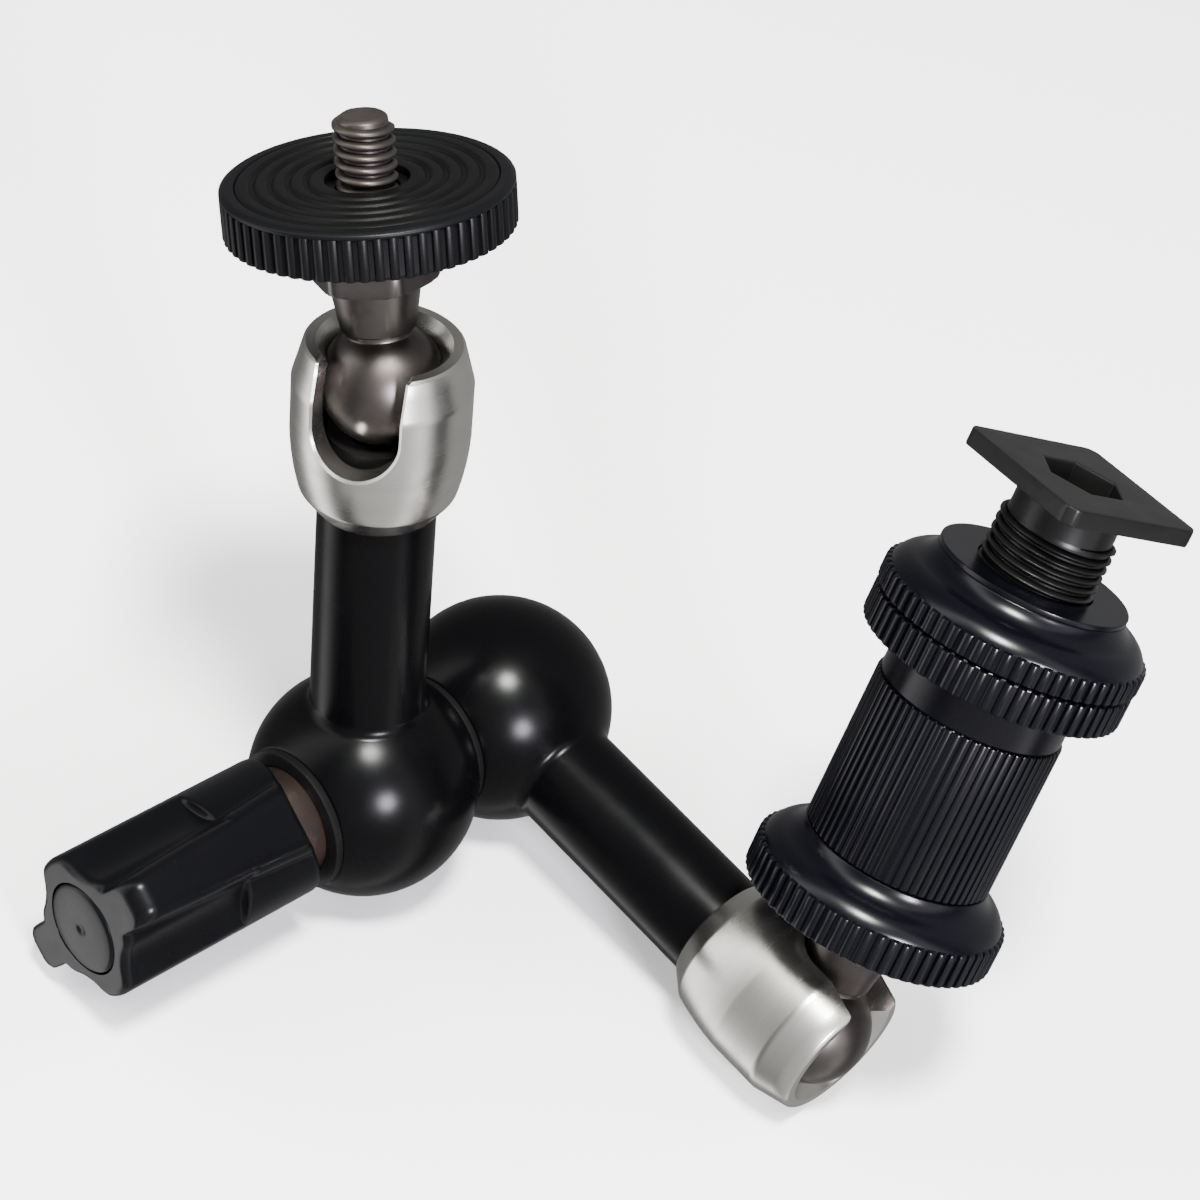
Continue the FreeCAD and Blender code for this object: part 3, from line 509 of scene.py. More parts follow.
@dataclass(frozen=True)
class Finish:
    """A surface finish, in the words and numbers of its maker."""

    name: str
    colour: Colour
    roughness: float
    metallic: float = 0.0
    specular: float = 0.5
    grain_depth: float = 0.02
    patch_colour: Colour | None = None
    patch_roughness: float = 0.1
    speck_cover: float = 0.0
    speck_colour: Colour = (0.30, 0.29, 0.28)
    turned_along: tuple[float, float, float] | None = None
    turned_depth: float = 0.04

    def material(self) -> bpy.types.Material:
        """Builds the finish as a material.

        Returns:
            The new material.
        """
        material = bpy.data.materials.new(self.name)
        material.use_nodes = True
        graph = Graph(material.node_tree)
        place = graph.add("ShaderNodeTexCoord")["Object"]
        height, depth, spread = self.relief(graph, place)
        bump = graph.add("ShaderNodeBump", {
            "Strength": depth, "Distance": BUMP_DISTANCE, "Height": height})
        dull = graph.add("ShaderNodeMapRange", {
            "Value": spread, "From Min": DULL_RANGE[0], "From Max": DULL_RANGE[1],
            "To Min": self.roughness * (1 - self.patch_roughness),
            "To Max": self.roughness * (1 + self.patch_roughness)})
        skin = material.node_tree.nodes["Principled BSDF"]
        for name, value in (("Metallic", self.metallic), ("Specular IOR Level", self.specular),
                            ("Normal", bump["Normal"]), ("Roughness", dull["Result"]),
                            ("Base Color", self.shade(graph, place, spread))):
            graph.feed(skin, name, value)
        return material

    def relief(self, graph: Graph, place: bpy.types.NodeSocket
               ) -> tuple[bpy.types.NodeSocket, float, bpy.types.NodeSocket]:
        """The height of the surface's relief, its depth, and the value of its patches."""
        if self.turned_along is None:
            effect = graph.add("ShaderNodeGroup", {"Vector": place, "Scale": GRAIN_SCALE},
                               node_tree=SHELF.get(Effect.GRAIN))
            return effect["Height"], self.grain_depth, effect["Patches"]
        effect = graph.add("ShaderNodeGroup", {
            "Vector": place, "Axis": self.turned_along, "Scale": TOOL_LINE_SCALE,
        }, node_tree=SHELF.get(Effect.TURNED))
        return effect["Height"], self.turned_depth, effect["Shade"]

    def shade(self, graph: Graph, place: bpy.types.NodeSocket,
              spread: bpy.types.NodeSocket) -> bpy.types.NodeSocket:
        """The surface's colour: two colours in patches, with any specks over them."""
        share = graph.add("ShaderNodeMapRange", {
            "Value": spread, "From Min": PATCH_RANGE[0], "From Max": PATCH_RANGE[1]})
        mixed = graph.add("ShaderNodeMix", {
            "Factor": share["Result"], "A": (*self.colour, 1.0),
            "B": (*(self.patch_colour or self.colour), 1.0)}, data_type="RGBA")["Result"]
        if not self.speck_cover:
            return mixed
        specks = graph.add("ShaderNodeGroup", {
            "Vector": place, "Scale": SPECK_SCALE, "Cover": self.speck_cover,
        }, node_tree=SHELF.get(Effect.SPECKS))
        return graph.add("ShaderNodeMix", {
            "Factor": specks["Mask"], "A": mixed, "B": (*self.speck_colour, 1.0),
        }, data_type="RGBA")["Result"]


BLACK_ANODISED = Finish("black_anodised", (0.001, 0.001, 0.0012), 0.25, specular=0.09,
                        grain_depth=0.05, patch_roughness=0.12, speck_cover=0.28)
BLACK_POLYMER = Finish("black_polymer", (0.003, 0.003, 0.003), 0.4, specular=0.08)
PLAIN_STEEL = Finish("plain_steel", (0.45, 0.44, 0.43), 0.35, metallic=1.0)
BRONZE = Finish("bronze", (0.016, 0.010, 0.008), 0.38, metallic=0.2, specular=0.3,
                patch_colour=(0.007, 0.005, 0.004), patch_roughness=0.3)
KNOB_PLASTIC = Finish("knob_plastic", (0.0015, 0.0015, 0.002), 0.3, specular=0.13,
                      grain_depth=0.04)
INSERT_BRASS = Finish("insert_brass", (0.6, 0.43, 0.17), 0.3, metallic=1.0)
BORE_STEEL = Finish("bore_steel", (0.020, 0.018, 0.018), 0.45, metallic=0.8)
STUD_STEEL = Finish("dark_steel", (0.105, 0.095, 0.090), 0.36, metallic=1.0,
                    patch_colour=(0.065, 0.055, 0.052), patch_roughness=0.2,
                    speck_cover=0.3, speck_colour=(0.16, 0.12, 0.10))
SCREW_STEEL = Finish("screw_steel", (0.045, 0.037, 0.033), 0.42, metallic=0.7,
                     patch_colour=(0.024, 0.020, 0.020), patch_roughness=0.3)
DISC_BLACK = Finish("disc_black", (0.002, 0.002, 0.0025), 0.38, specular=0.12,
                    grain_depth=0.12, speck_cover=0.26)
PAD_RUBBER = Finish("pad_rubber", (0.002, 0.002, 0.002), 0.4, specular=0.1,
                    grain_depth=0.2, speck_cover=0.27)
WHEEL_BLACK = Finish("wheel_black", (0.001, 0.001, 0.002), 0.24, specular=0.24)
SHOE_BLACK = Finish("shoe_black", (0.003, 0.003, 0.003), 0.34, specular=0.22,
                    grain_depth=0.06)


def sleeve_finish(name: str, along: Vector) -> Finish:
    """Bright turned steel with its tool lines round one tube."""
    return Finish(name, (0.56, 0.545, 0.51), 0.27, metallic=1.0, turned_along=tuple(along),
                  patch_colour=(0.53, 0.515, 0.485), patch_roughness=0.05)


def placed(name: str, data: bpy.types.ID) -> bpy.types.Object:
    """A new object that stands in the scene."""
    piece = bpy.data.objects.new(name, data)
    bpy.context.scene.collection.objects.link(piece)
    return piece


class Shop:
    """Makes objects of the arm and gives them their finishes, bodies and nodes."""

    def __init__(self) -> None:
        """Starts with no materials."""
        self.materials: dict[str, bpy.types.Material] = {}

    def material(self, finish: Finish) -> bpy.types.Material:
        """The material of a finish, built when it is first wanted."""
        if finish.name not in self.materials:
            self.materials[finish.name] = finish.material()
        return self.materials[finish.name]

    def fit(self, name: str, mesh: bpy.types.Mesh, place: Place, finish: Finish, body: str,
            nodes: Sequence[str], level: bool = False) -> None:
        """Puts a finished mesh in its place on the arm.

        Args:
            name: The new object's name.
            mesh: Its mesh, in metres in the local frame.
            place: The local frame.
            finish: Its finish.
            body: The body it moves with.
            nodes: The solids it stands for.
            level: Whether its broad faces should look flat up to their edges.
        """
        axes = Matrix((place.x, place.y, place.z)).transposed().to_4x4()
        mesh.transform(Matrix.Translation(place.origin) @ axes)
        mesh.materials.clear()
        mesh.materials.append(self.material(finish))
        piece = placed(name, mesh)
        if level:
            flat = piece.modifiers.new("flat faces", "WEIGHTED_NORMAL")
            flat.keep_sharp = True
        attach(piece, body)
        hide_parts(*nodes)
        log.info("%s: %d faces", name, len(mesh.polygons))

    def dress(self, node: str, finish: Finish) -> None:
        """Gives a solid that keeps its own shape a finish."""
        solid = frame["nodes"][node]
        material = self.material(finish)
        for slot in solid.material_slots:
            slot.material = material
        log.info("%s keeps its solid", node)


# What repeats round an axis or along a helix

class CoreTree:
    """A node tree that adds something to a turned core."""

    name: str
    inputs: Sequence[Socket]

    def __init__(self) -> None:
        """Builds the tree. What it adds is joined to the core."""
        shape = ("Geometry", "NodeSocketGeometry")
        self.graph = Graph.group(self.name, "GeometryNodeTree", (shape, *self.inputs), (shape,))
        given = self.graph.add("NodeGroupInput")
        joined = self.graph.tree.nodes.new("GeometryNodeJoinGeometry")
        for part in (self.added(given), given["Geometry"]):
            self.graph.feed(joined, "Geometry", part)
        real = self.graph.add("GeometryNodeRealizeInstances", {
            "Geometry": joined.outputs["Geometry"]})
        self.graph.add("NodeGroupOutput", {"Geometry": real["Geometry"]})

    def added(self, given: bpy.types.NodeOutputs) -> bpy.types.NodeSocket:
        """Builds the nodes of what the tree adds, from what it is handed."""
        raise NotImplementedError

    def bake(self, core: Surface, values: dict[str, object]) -> bpy.types.Mesh:
        """Runs the tree on a core and keeps the result as a plain mesh.

        Args:
            core: The surface that the tree starts from.
            values: The tree's inputs by name. Objects among them are deleted.

        Returns:
            The baked mesh.
        """
        piece = placed("core", core.mesh("core"))
        modifier = piece.modifiers.new("tree", "NODES")
        modifier.node_group = self.graph.tree
        for socket in self.graph.tree.interface.items_tree:
            if socket.name in values:
                modifier[socket.identifier] = values[socket.name]
        ready = piece.evaluated_get(bpy.context.evaluated_depsgraph_get())
        mesh = bpy.data.meshes.new_from_object(ready)
        piece.modifiers.remove(modifier)
        helpers = [value for value in values.values() if isinstance(value, bpy.types.Object)]
        for spare in [piece, *helpers]:
            bpy.data.objects.remove(spare, do_unlink=True)
        return mesh


class RimRibs(CoreTree):
    """Ribs that stand on a rim, repeated by one node tree."""

    name = "ribs round a rim"
    inputs = (("Rib", "NodeSocketObject"), ("Count", "NodeSocketInt"), *singles("Radius"))

    def added(self, given: bpy.types.NodeOutputs) -> bpy.types.NodeSocket:
        """The ribs, as instances on points round the rim."""
        add = self.graph.add
        index = add("GeometryNodeInputIndex")["Index"]
        share = add("ShaderNodeMath", {0: index, 1: given["Count"]}, operation="DIVIDE")
        angle = add("ShaderNodeMath", {0: share["Value"], 1: 2 * math.pi},
                    operation="MULTIPLY")
        turn = add("ShaderNodeCombineXYZ", {"Z": angle["Value"]})["Vector"]
        out = add("ShaderNodeCombineXYZ", {"X": given["Radius"]})["Vector"]
        around = add("ShaderNodeVectorRotate", {"Vector": out, "Rotation": turn},
                     rotation_type="EULER_XYZ")
        points = add("GeometryNodePoints", {
            "Count": given["Count"], "Position": around["Vector"]})
        bar = add("GeometryNodeObjectInfo", {"Object": given["Rib"]})
        return add("GeometryNodeInstanceOnPoints", {
            "Points": points[0], "Instance": bar["Geometry"], "Rotation": turn})["Instances"]

    def around(self, core: Surface, bar: Surface, count: int, radius: float) -> bpy.types.Mesh:
        """Stands ribs round a turned core.

        Args:
            core: The turned surface.
            bar: One rib, with X outwards from where it stands.
            count: How many ribs there are.
            radius: How far out they stand, in millimetres.

        Returns:
            The core with its ribs as one mesh.
        """
        return self.bake(core, {"Rib": placed("rib", bar.mesh("rib")), "Count": count,
                                "Radius": radius * MM})


class ScrewThread(CoreTree):
    """A screw thread: one tree sweeps its ridge along a helix."""

    name = "thread along a helix"
    inputs = (("Ridge", "NodeSocketObject"), *singles("Radius", "Pitch", "Turns", "Start"))
    steps_in_turn = 64
    end_scale = 0.15
    sunk = 0.08
    foot_share = 0.46
    crest_share = 0.09
    depth_share = 0.95

    def added(self, given: bpy.types.NodeOutputs) -> bpy.types.NodeSocket:
        """The ridge, which gets smaller towards both ends of the thread."""
        add = self.graph.add
        rise = add("ShaderNodeMath", {0: given["Pitch"], 1: given["Turns"]},
                   operation="MULTIPLY")
        helix = add("GeometryNodeCurveSpiral", {
            "Resolution": self.steps_in_turn, "Rotations": given["Turns"],
            "Start Radius": given["Radius"], "End Radius": given["Radius"],
            "Height": rise["Value"]})
        upright = add("GeometryNodeSetCurveNormal", {"Curve": helix["Curve"]}, mode="Z_UP")
        along = add("GeometryNodeSplineParameter")["Length"]
        whole = add("GeometryNodeSplineLength")["Length"]
        left = add("ShaderNodeMath", {0: whole, 1: along}, operation="SUBTRACT")
        nearest = add("ShaderNodeMath", {0: along, 1: left["Value"]}, operation="MINIMUM")
        fade = add("ShaderNodeMapRange", {
            "Value": nearest["Value"], "From Max": given["Radius"], "To Min": self.end_scale})
        ridge = add("GeometryNodeObjectInfo", {"Object": given["Ridge"]})
        outline = add("GeometryNodeMeshToCurve", {"Mesh": ridge["Geometry"]})
        sweep = add("GeometryNodeCurveToMesh", {
            "Curve": upright["Curve"], "Profile Curve": outline["Curve"],
            "Scale": fade["Result"], "Fill Caps": True})
        lift = add("ShaderNodeCombineXYZ", {"Z": given["Start"]})
        return add("GeometryNodeTransform", {
            "Geometry": sweep["Mesh"], "Translation": lift["Vector"]})["Geometry"]

    def on(self, core: Surface, root: float, depth: float, pitch: float, low: float,
           high: float) -> bpy.types.Mesh:
        """Winds a ridge on a turned core.

        Args:
            core: The turned surface.
            root: Radius at the foot of the thread, in millimetres.
            depth: How far the ridge stands out.
            pitch: Rise of one turn.
            low: Height where the thread starts.
            high: Height where it ends.

        Returns:
            The core with its thread as one mesh.
        """
        foot = pitch * self.foot_share
        crest = pitch * self.crest_share
        out = depth * self.depth_share
        corners = [(self.sunk, foot), (-out, crest), (-out, -crest), (self.sunk, -foot)]
        mesh = bpy.data.meshes.new("ridge outline")
        mesh.from_pydata([(x * MM, y * MM, 0.0) for x, y in corners],
                         [(n, (n + 1) % len(corners)) for n in range(len(corners))], [])
        return self.bake(core, {
            "Ridge": placed("ridge outline", mesh), "Radius": root * MM, "Pitch": pitch * MM,
            "Turns": (high - low) / pitch, "Start": low * MM})


def rib(width: float, height: float, low: float, high: float, ease: float = 0.35) -> Surface:
    """One rounded bar along Z that stands out along X.

    Args:
        width: Its width at the foot.
        height: How far it stands out.
        low: Height of its lower end.
        high: Height of its upper end.
        ease: Length over which its ends are rounded.

    Returns:
        The bar's surface.
    """
    lean = np.radians(np.linspace(-90, 90, 7))
    across = np.sin(lean) * width / 2
    out = np.cos(lean) ** 0.6 * height
    sink = -0.12
    heights = [low, low + ease * 0.12, low + ease * 0.45, low + ease,
               high - ease, high - ease * 0.45, high - ease * 0.12, high]
    shares = [0.0, 0.5, 0.87, 1.0, 1.0, 0.87, 0.5, 0.0]
    rows = []
    for level, share in zip(heights, shares):
        row = [(sink, across[0], level)]
        row += [(o * share, a, level) for o, a in zip(out, across)]
        row.append((sink, across[-1], level))
        rows.append(row)
    wide = len(rows[0])
    points = np.array([point for row in rows for point in row])
    faces: list[tuple[int, ...]] = []
    for level in range(len(rows) - 1):
        for side in range(wide):
            a = level * wide + side
            b = level * wide + (side + 1) % wide
            faces.append((a, b, b + wide, a + wide))
    last = (len(rows) - 1) * wide
    for side in range(1, wide - 1):
        faces.append((0, side + 1, side))
        faces.append((last, last + side, last + side + 1))
    return Surface(points, faces).outward()


# Sub-assemblies

@dataclass
class BallArm:
    """One tube with its elbow ball."""

    body: str
    place: Place
    outer_flat: bool
    ball_radius: float = 13.0
    flat: float = 10.1
    tube_radius: float = 6.35
    fillet: float = 1.5
    tube_end: float = 44.6
    groove: tuple[float, float] = (40.05, 41.25)
    groove_radius: float = 5.75
    bore_radius: float = 3.27
    bore_floor: float = 22.0
    end_chamfer: float = 0.4
    ball_steps: int = 48

    def ball(self) -> Surface:
        """The ball with its flat sides, turned about the elbow."""
        edge = math.degrees(math.asin(self.flat / self.ball_radius))
        last = edge if self.outer_flat else 90
        points = [(0.0, -self.flat)]
        points += arc((0, 0), self.ball_radius, -edge, last, self.ball_steps)
        if self.outer_flat:
            points.append((0.0, self.flat))
        else:
            points[-1] = (0.0, self.ball_radius)
        return turned(points, 0.22)

    def tube(self) -> Surface:
        """The tube and its hollow foot on the ball."""
        across = self.tube_radius + self.fillet
        reach = self.ball_radius + self.fillet
        up = math.sqrt(reach * reach - across * across)
        share = self.ball_radius / reach
        foot = math.degrees(math.atan2(up * (share - 1), across * (share - 1)))
        low, high = self.groove
        points = [(0.0, self.tube_radius), (across * share - 0.04, up * share - 0.08)]
        points += arc((across, up), self.fillet, foot + 360, 180, 12)
        points += [(self.tube_radius, low), (self.groove_radius, low),
                   (self.groove_radius, high), (self.tube_radius, high),
                   (self.tube_radius, self.tube_end - self.end_chamfer),
                   (self.tube_radius - self.end_chamfer, self.tube_end),
                   (self.bore_radius, self.tube_end),
                   (self.bore_radius, self.bore_floor), (0.0, self.bore_floor)]
        return turned(points, 0.08)

    def build(self, shop: Shop) -> None:
        """Makes the arm as one object."""
        elbow = np.array([(1.0, 0.0, 0.0), (0.0, 0.0, -1.0), (0.0, 1.0, 0.0)]).T
        ball = self.ball().moved((0, 0, 0), elbow).outward()
        surface = ball + self.tube()
        shop.fit(f"{self.body}_look", surface.mesh(f"{self.body}_look"), self.place,
                 BLACK_ANODISED, self.body, [self.body])


@dataclass
class ElbowStack:
    """The washers and the bushing between the balls and the knob."""

    place: Place
    face_radius: float = 8.18
    washer_bore: float = 5.6
    elbow_face: float = 10.1
    elbow_washer: float = 0.8
    dust_washer: float = 1.0
    bushing_radius: float = 6.3
    bushing_shoulder: float = 10.85
    bushing_end: float = 14.5
    barrel_radius: float = 5.1
    barrel_start: float = 5.0
    bolt_hole: float = 2.52
    washer_gap: float = 0.06

    def build(self, shop: Shop) -> None:
        """Makes the two washers and the bushing."""
        low = -self.elbow_face
        rings = (
            ("elbow_washer", self.washer_bore, low - self.elbow_washer, low),
            ("dust_washer", self.bushing_radius + self.washer_gap, -low,
             -low + self.dust_washer),
        )
        for name, bore, bottom, top in rings:
            surface = turned([(bore, bottom), (self.face_radius, bottom),
                              (self.face_radius, top), (bore, top)], 0.18)
            shop.fit(f"{name}_look", surface.mesh(name), self.place, BLACK_POLYMER,
                     "upper_arm", [name])
        surface = turned([
            (self.bolt_hole, self.barrel_start), (self.barrel_radius, self.barrel_start),
            (self.barrel_radius, self.bushing_shoulder),
            (self.bushing_radius, self.bushing_shoulder),
            (self.bushing_radius, self.bushing_end), (self.bolt_hole, self.bushing_end),
        ], 0.15)
        shop.fit("thrust_bushing_look", surface.mesh("thrust_bushing"), self.place, BRONZE,
                 "thrust", ["thrust_bushing"])


@dataclass
class WingKnob:
    """The two-winged knob, with a scoop on each side of each wing."""

    place: Place
    start: float = 12.3
    end: float = 39.2
    core_radius: float = 8.1
    end_round: float = 15.0
    root: Point = (8.9, 4.4)
    tip: Point = (13.3, 2.5)
    wing_corner: float = 1.7
    scoop_radius: float = 8.2
    scoop_centre: Point = (9.9, 11.4)
    scoop_span: Point = (23.4, 38.4)
    blend: float = 0.6
    wall_blend: float = 0.25
    end_edge: float = 0.9
    wing_edge: float = 2.1
    near_edge: float = 0.6
    bushing_hole: float = 6.35
    insert_radius: float = 4.5
    cap_radius: float = 5.25
    cap_floor: float = 37.8
    cap_crown: float = 0.3
    cap_gap: float = 0.08
    near_rings_end: float = 17.0
    bushing_seat: float = 14.5
    insert_end: float = 27.0
    bolt_room: float = 3.4
    search: Point = (16.0, 4.0)
    search_steps: int = 96
    halvings: int = 14
    sides: int = 288
    angles: np.ndarray = field(init=False, repr=False)

    def __post_init__(self) -> None:
        """Sets the angles that every ring of the knob uses."""
        self.angles = np.arange(self.sides) * (2 * np.pi / self.sides)

    def distance(self, x: np.ndarray, y: np.ndarray, s: np.ndarray) -> np.ndarray:
        """How far points lie outside the knob's side surface.

        Args:
            x: Distance along the wings.
            y: Distance across the wings.
            s: Height in the knob frame.

        Returns:
            The rounded distance, under 0 inside the knob.
        """
        t = np.clip((s - self.start) / (self.end - self.start), 0.0, 1.0)
        length = self.root[0] + (self.tip[0] - self.root[0]) * t
        width = self.root[1] + (self.tip[1] - self.root[1]) * t
        past_end = np.abs(x) - length + self.wing_corner
        past_side = np.abs(y) - width + self.wing_corner
        wing = (np.hypot(np.maximum(past_end, 0.0), np.maximum(past_side, 0.0))
                + np.minimum(np.maximum(past_end, past_side), 0.0) - self.wing_corner)
        core = np.hypot(x, y) - self.core_radius
        solid = smooth_min(wing, core, self.blend)
        scoop = np.hypot(np.abs(x) - self.scoop_centre[0],
                         np.abs(y) - self.scoop_centre[1]) - self.scoop_radius
        ends = np.maximum(self.scoop_span[0] - s, s - self.scoop_span[1])
        cut = smooth_max(scoop, ends, self.wall_blend)
        return smooth_max(solid, -cut, self.blend)

    def reach(self, s: np.ndarray) -> np.ndarray:
        """Radius of the side surface at each angle, for given heights."""
        cos, sin = np.cos(self.angles), np.sin(self.angles)
        trial = np.linspace(*self.search, self.search_steps + 1)
        values = np.array([self.distance(r * cos, r * sin, s) for r in trial])
        first = np.argmax(values < 0, axis=0)
        outer, inner = trial[first - 1], trial[first]
        for _ in range(self.halvings):
            middle = (outer + inner) / 2
            outside = self.distance(middle * cos, middle * sin, s) > 0
            outer = np.where(outside, middle, outer)
            inner = np.where(outside, inner, middle)
        return (outer + inner) / 2

    def near_face(self, radius: np.ndarray) -> np.ndarray:
        """Height of the end towards the elbow, which is rounded across the wings."""
        x = np.minimum(np.abs(radius * np.cos(self.angles)), self.end_round * 0.98)
        return self.start + self.end_round - np.sqrt(self.end_round ** 2 - x ** 2)

    def body(self) -> Surface:
        """The knob's moulding with its stepped hole."""
        rings = Rings(self.sides)
        near = self.near_face(self.reach(np.full(self.sides, self.start)))
        outline = self.reach(near + self.near_edge)
        for share in (0.0, 0.35, 0.7):
            radius = self.bushing_hole + (outline - self.near_edge - self.bushing_hole) * share
            rings.add(radius, self.near_face(radius))
        for step in range(5):
            a = math.radians(90 * step / 4)
            radius = outline - self.near_edge * (1 - math.sin(a))
            rings.add(radius, self.near_face(radius) + self.near_edge * (1 - math.cos(a)))
        low = near + self.near_edge
        for share in np.linspace(0.15, 1.0, 6):
            height = low + (self.near_rings_end - low) * share
            rings.add(self.reach(height), height)
        first, last = self.scoop_span
        levels = [*np.linspace(self.near_rings_end + 1, first - 1.2, 4),
                  *np.linspace(first - 0.8, first + 0.7, 14),
                  *np.linspace(first + 1.5, last - 2.0, 14)]
        for level in levels:
            rings.add(self.reach(np.full(self.sides, level)), level)
        rim = self.reach(np.full(self.sides, last))
        out = np.clip(np.abs(rim * np.cos(self.angles)) - self.core_radius, 0.0, 4.0) / 4.0
        edge = self.end_edge + (self.wing_edge - self.end_edge) * out
        for share in (0.4, 0.8, 1.0):
            height = levels[-1] + (self.end - edge - levels[-1]) * share
            rim = self.reach(height)
            rings.add(rim, height)
        for step in range(1, 9):
            a = math.radians(90 * step / 8)
            rings.add(rim - edge * (1 - math.cos(a)), self.end - edge * (1 - math.sin(a)))
        inner = rim - edge
        for share in (0.3, 0.65, 0.96):
            rings.add(inner + (self.cap_radius - inner) * share, self.end)
        rings.profile([
            (self.cap_radius + 0.06, self.end - 0.25), (self.cap_radius + 0.03, self.cap_floor),
            (self.bolt_room, self.cap_floor), (self.bolt_room, self.insert_end),
            (self.insert_radius, self.insert_end), (self.insert_radius, self.bushing_seat),
            (self.bushing_hole, self.bushing_seat),
        ])
        return rings.surface()

    def cap(self) -> Surface:
        """The round cap in the end, with a dimple in its middle."""
        top = self.end + self.cap_crown
        edge = self.cap_radius - self.cap_gap
        return turned([
            (0.0, self.cap_floor), (edge, self.cap_floor), (edge, top - 0.35),
            (edge - 0.35, top - 0.12), (edge - 1.4, top - 0.03), (0.75, top),
            (0.42, top - 0.12), (0.0, top - 0.22),
        ], 0.25)

    def build(self, shop: Shop) -> None:
        """Makes the moulding and its cap."""
        for node, surface, level in (("knob_body", self.body(), False),
                                     ("knob_cap", self.cap(), True)):
            shop.fit(f"{node}_look", surface.mesh(node), self.place, KNOB_PLASTIC, "knob",
                     [node], level)


@dataclass
class SocketSleeve:
    """A slotted steel sleeve that holds a stud's ball at the end of a tube."""

    name: str
    body: str
    place: Place
    back: float = -14.9
    back_radius: float = 6.6
    shoulder: Point = (8.4, -12.5)
    swell_radius: float = 30.0
    wide: tuple[float, float] = (-5.6, 0.4)
    radius: float = 9.46
    mouth: float = 4.8
    mouth_radius: float = 8.37
    mouth_inner: float = 7.05
    mouth_edge: float = 0.3
    throat: float = 3.0
    seat: float = 6.65
    bore: float = 6.75
    collar_bore: float = 6.42
    collar_top: float = -12.7
    slot_half: float = 4.7
    slot_drop: float = 2.0
    slot_edge: float = 0.28
    slot_corner: float = 0.35
    corner_turns: tuple[float, ...] = (70, 45, 20, 0)
    straight_rings: tuple[float, ...] = (2.25, 1.5, 0.8)
    swell_rings: tuple[float, ...] = (-7.6, -8.4, -9.2, -10.0, -10.8, -11.6)
    swell_end: float = -11.8
    seat_end: float = -8.0
    columns: int = 144

    def outer(self, height: float) -> float:
        """Radius of the outside at a height."""
        low, high = self.wide
        if height >= self.mouth - self.mouth_edge:
            return self.mouth_radius - (height - self.mouth + self.mouth_edge)
        if height >= high:
            span = self.mouth - self.mouth_edge - high
            return self.radius + (self.mouth_radius - self.radius) * (height - high) / span
        if height >= low:
            return self.radius
        swell = bend(self.shoulder, (self.radius, low), self.swell_radius, 24)
        return float(np.interp(height, [p[1] for p in swell], [p[0] for p in swell]))

    def inner(self, height: float) -> float:
        """Radius of the inside at a height."""
        throat = math.sqrt(self.seat ** 2 - self.throat ** 2)
        if height >= self.throat:
            span = self.mouth - self.throat
            return throat + (self.mouth_inner - throat) * (height - self.throat) / span
        if height >= 0:
            return math.sqrt(self.seat ** 2 - height ** 2)
        return self.bore

    def row(self, radius: float, height: float, half: float) -> np.ndarray:
        """A row of points from one side of the slot round to the other."""
        gap = math.asin(min(1.0, half / radius))
        angles = np.linspace(gap, 2 * math.pi - gap, self.columns + 1)
        return np.stack([radius * np.cos(angles), radius * np.sin(angles),
                         np.full(self.columns + 1, height)], axis=1)

    def levels(self, grow: float) -> list[Point]:
        """Heights down the slot, each with the slot's half width there."""
        half = self.slot_half + grow
        corner = self.slot_corner
        start = self.mouth - corner
        result = [(self.mouth, half + corner)]
        for degrees in self.corner_turns:
            a = math.radians(degrees)
            result.append((start + corner * math.sin(a), half + corner * (1 - math.cos(a))))
        straight = [self.throat, *self.straight_rings, self.wide[1], 0.0, -1.0]
        result += [(height, half) for height in straight]
        crease = math.degrees(math.asin((-self.wide[0] - self.slot_drop) / half))
        turns = sorted([*np.linspace(0, 84, 15), 87, 90, crease])
        for degrees in turns:
            a = math.radians(degrees)
            width = half * math.cos(a) if degrees < 90 else 0.0
            result.append((-self.slot_drop - half * math.sin(a), width))
        return result

    def surface(self) -> Surface:
        """The whole sleeve as one closed surface."""
        out = self.levels(self.slot_edge)
        cut = self.levels(0.0)
        outside = [self.row(self.outer(h), h, w) for h, w in out]
        lip = [self.row(self.outer(h) - self.slot_edge, h, w)[[0, -1]] for h, w in cut]
        inside = [self.row(self.inner(h), h, w) for h, w in cut]
        tail = soften([(self.outer(self.swell_end), self.swell_end), self.shoulder,
                       (self.back_radius, self.back), (self.collar_bore, self.back),
                       (self.collar_bore, self.collar_top), (self.bore, self.collar_top),
                       (self.bore, self.seat_end)], 0.25, closed=False)
        skirt = [self.row(self.outer(h), h, 0.0) for h in self.swell_rings]
        skirt += [self.row(r, h, 0.0) for r, h in tail]
        rows = outside + skirt + inside[::-1]
        wide = self.columns + 1
        points = np.vstack(rows + [self.between(one, two) for one, two in zip(lip, cut)])
        faces: list[tuple[int, ...]] = []
        for level in range(len(rows) - 1):
            for side in range(self.columns):
                a = level * wide + side
                faces.append((a, a + 1, a + 1 + wide, a + wide))
        bottom = (len(rows) - 1) * wide
        for side in range(self.columns):
            faces.append((bottom + side, bottom + side + 1, side + 1, side))
        lips = len(rows) * wide
        for level in range(len(out) - 1):
            in_row = (len(rows) - 1 - level) * wide
            for end, mark in ((0, 0), (self.columns, 1)):
                outer = (level * wide + end, (level + 1) * wide + end)
                middle = (lips + level * 2 + mark, lips + (level + 1) * 2 + mark)
                inner = (in_row + end, in_row - wide + end)
                for one, two in ((outer, middle), (middle, inner)):
                    face = (one[0], one[1], two[1], two[0])
                    faces.append(face if end else face[::-1])
        for end, mark in ((0, 0), (self.columns, 1)):
            face = (end, lips + mark, bottom + end)
            faces.append(face[::-1] if end else face)
        return Surface(points, faces)

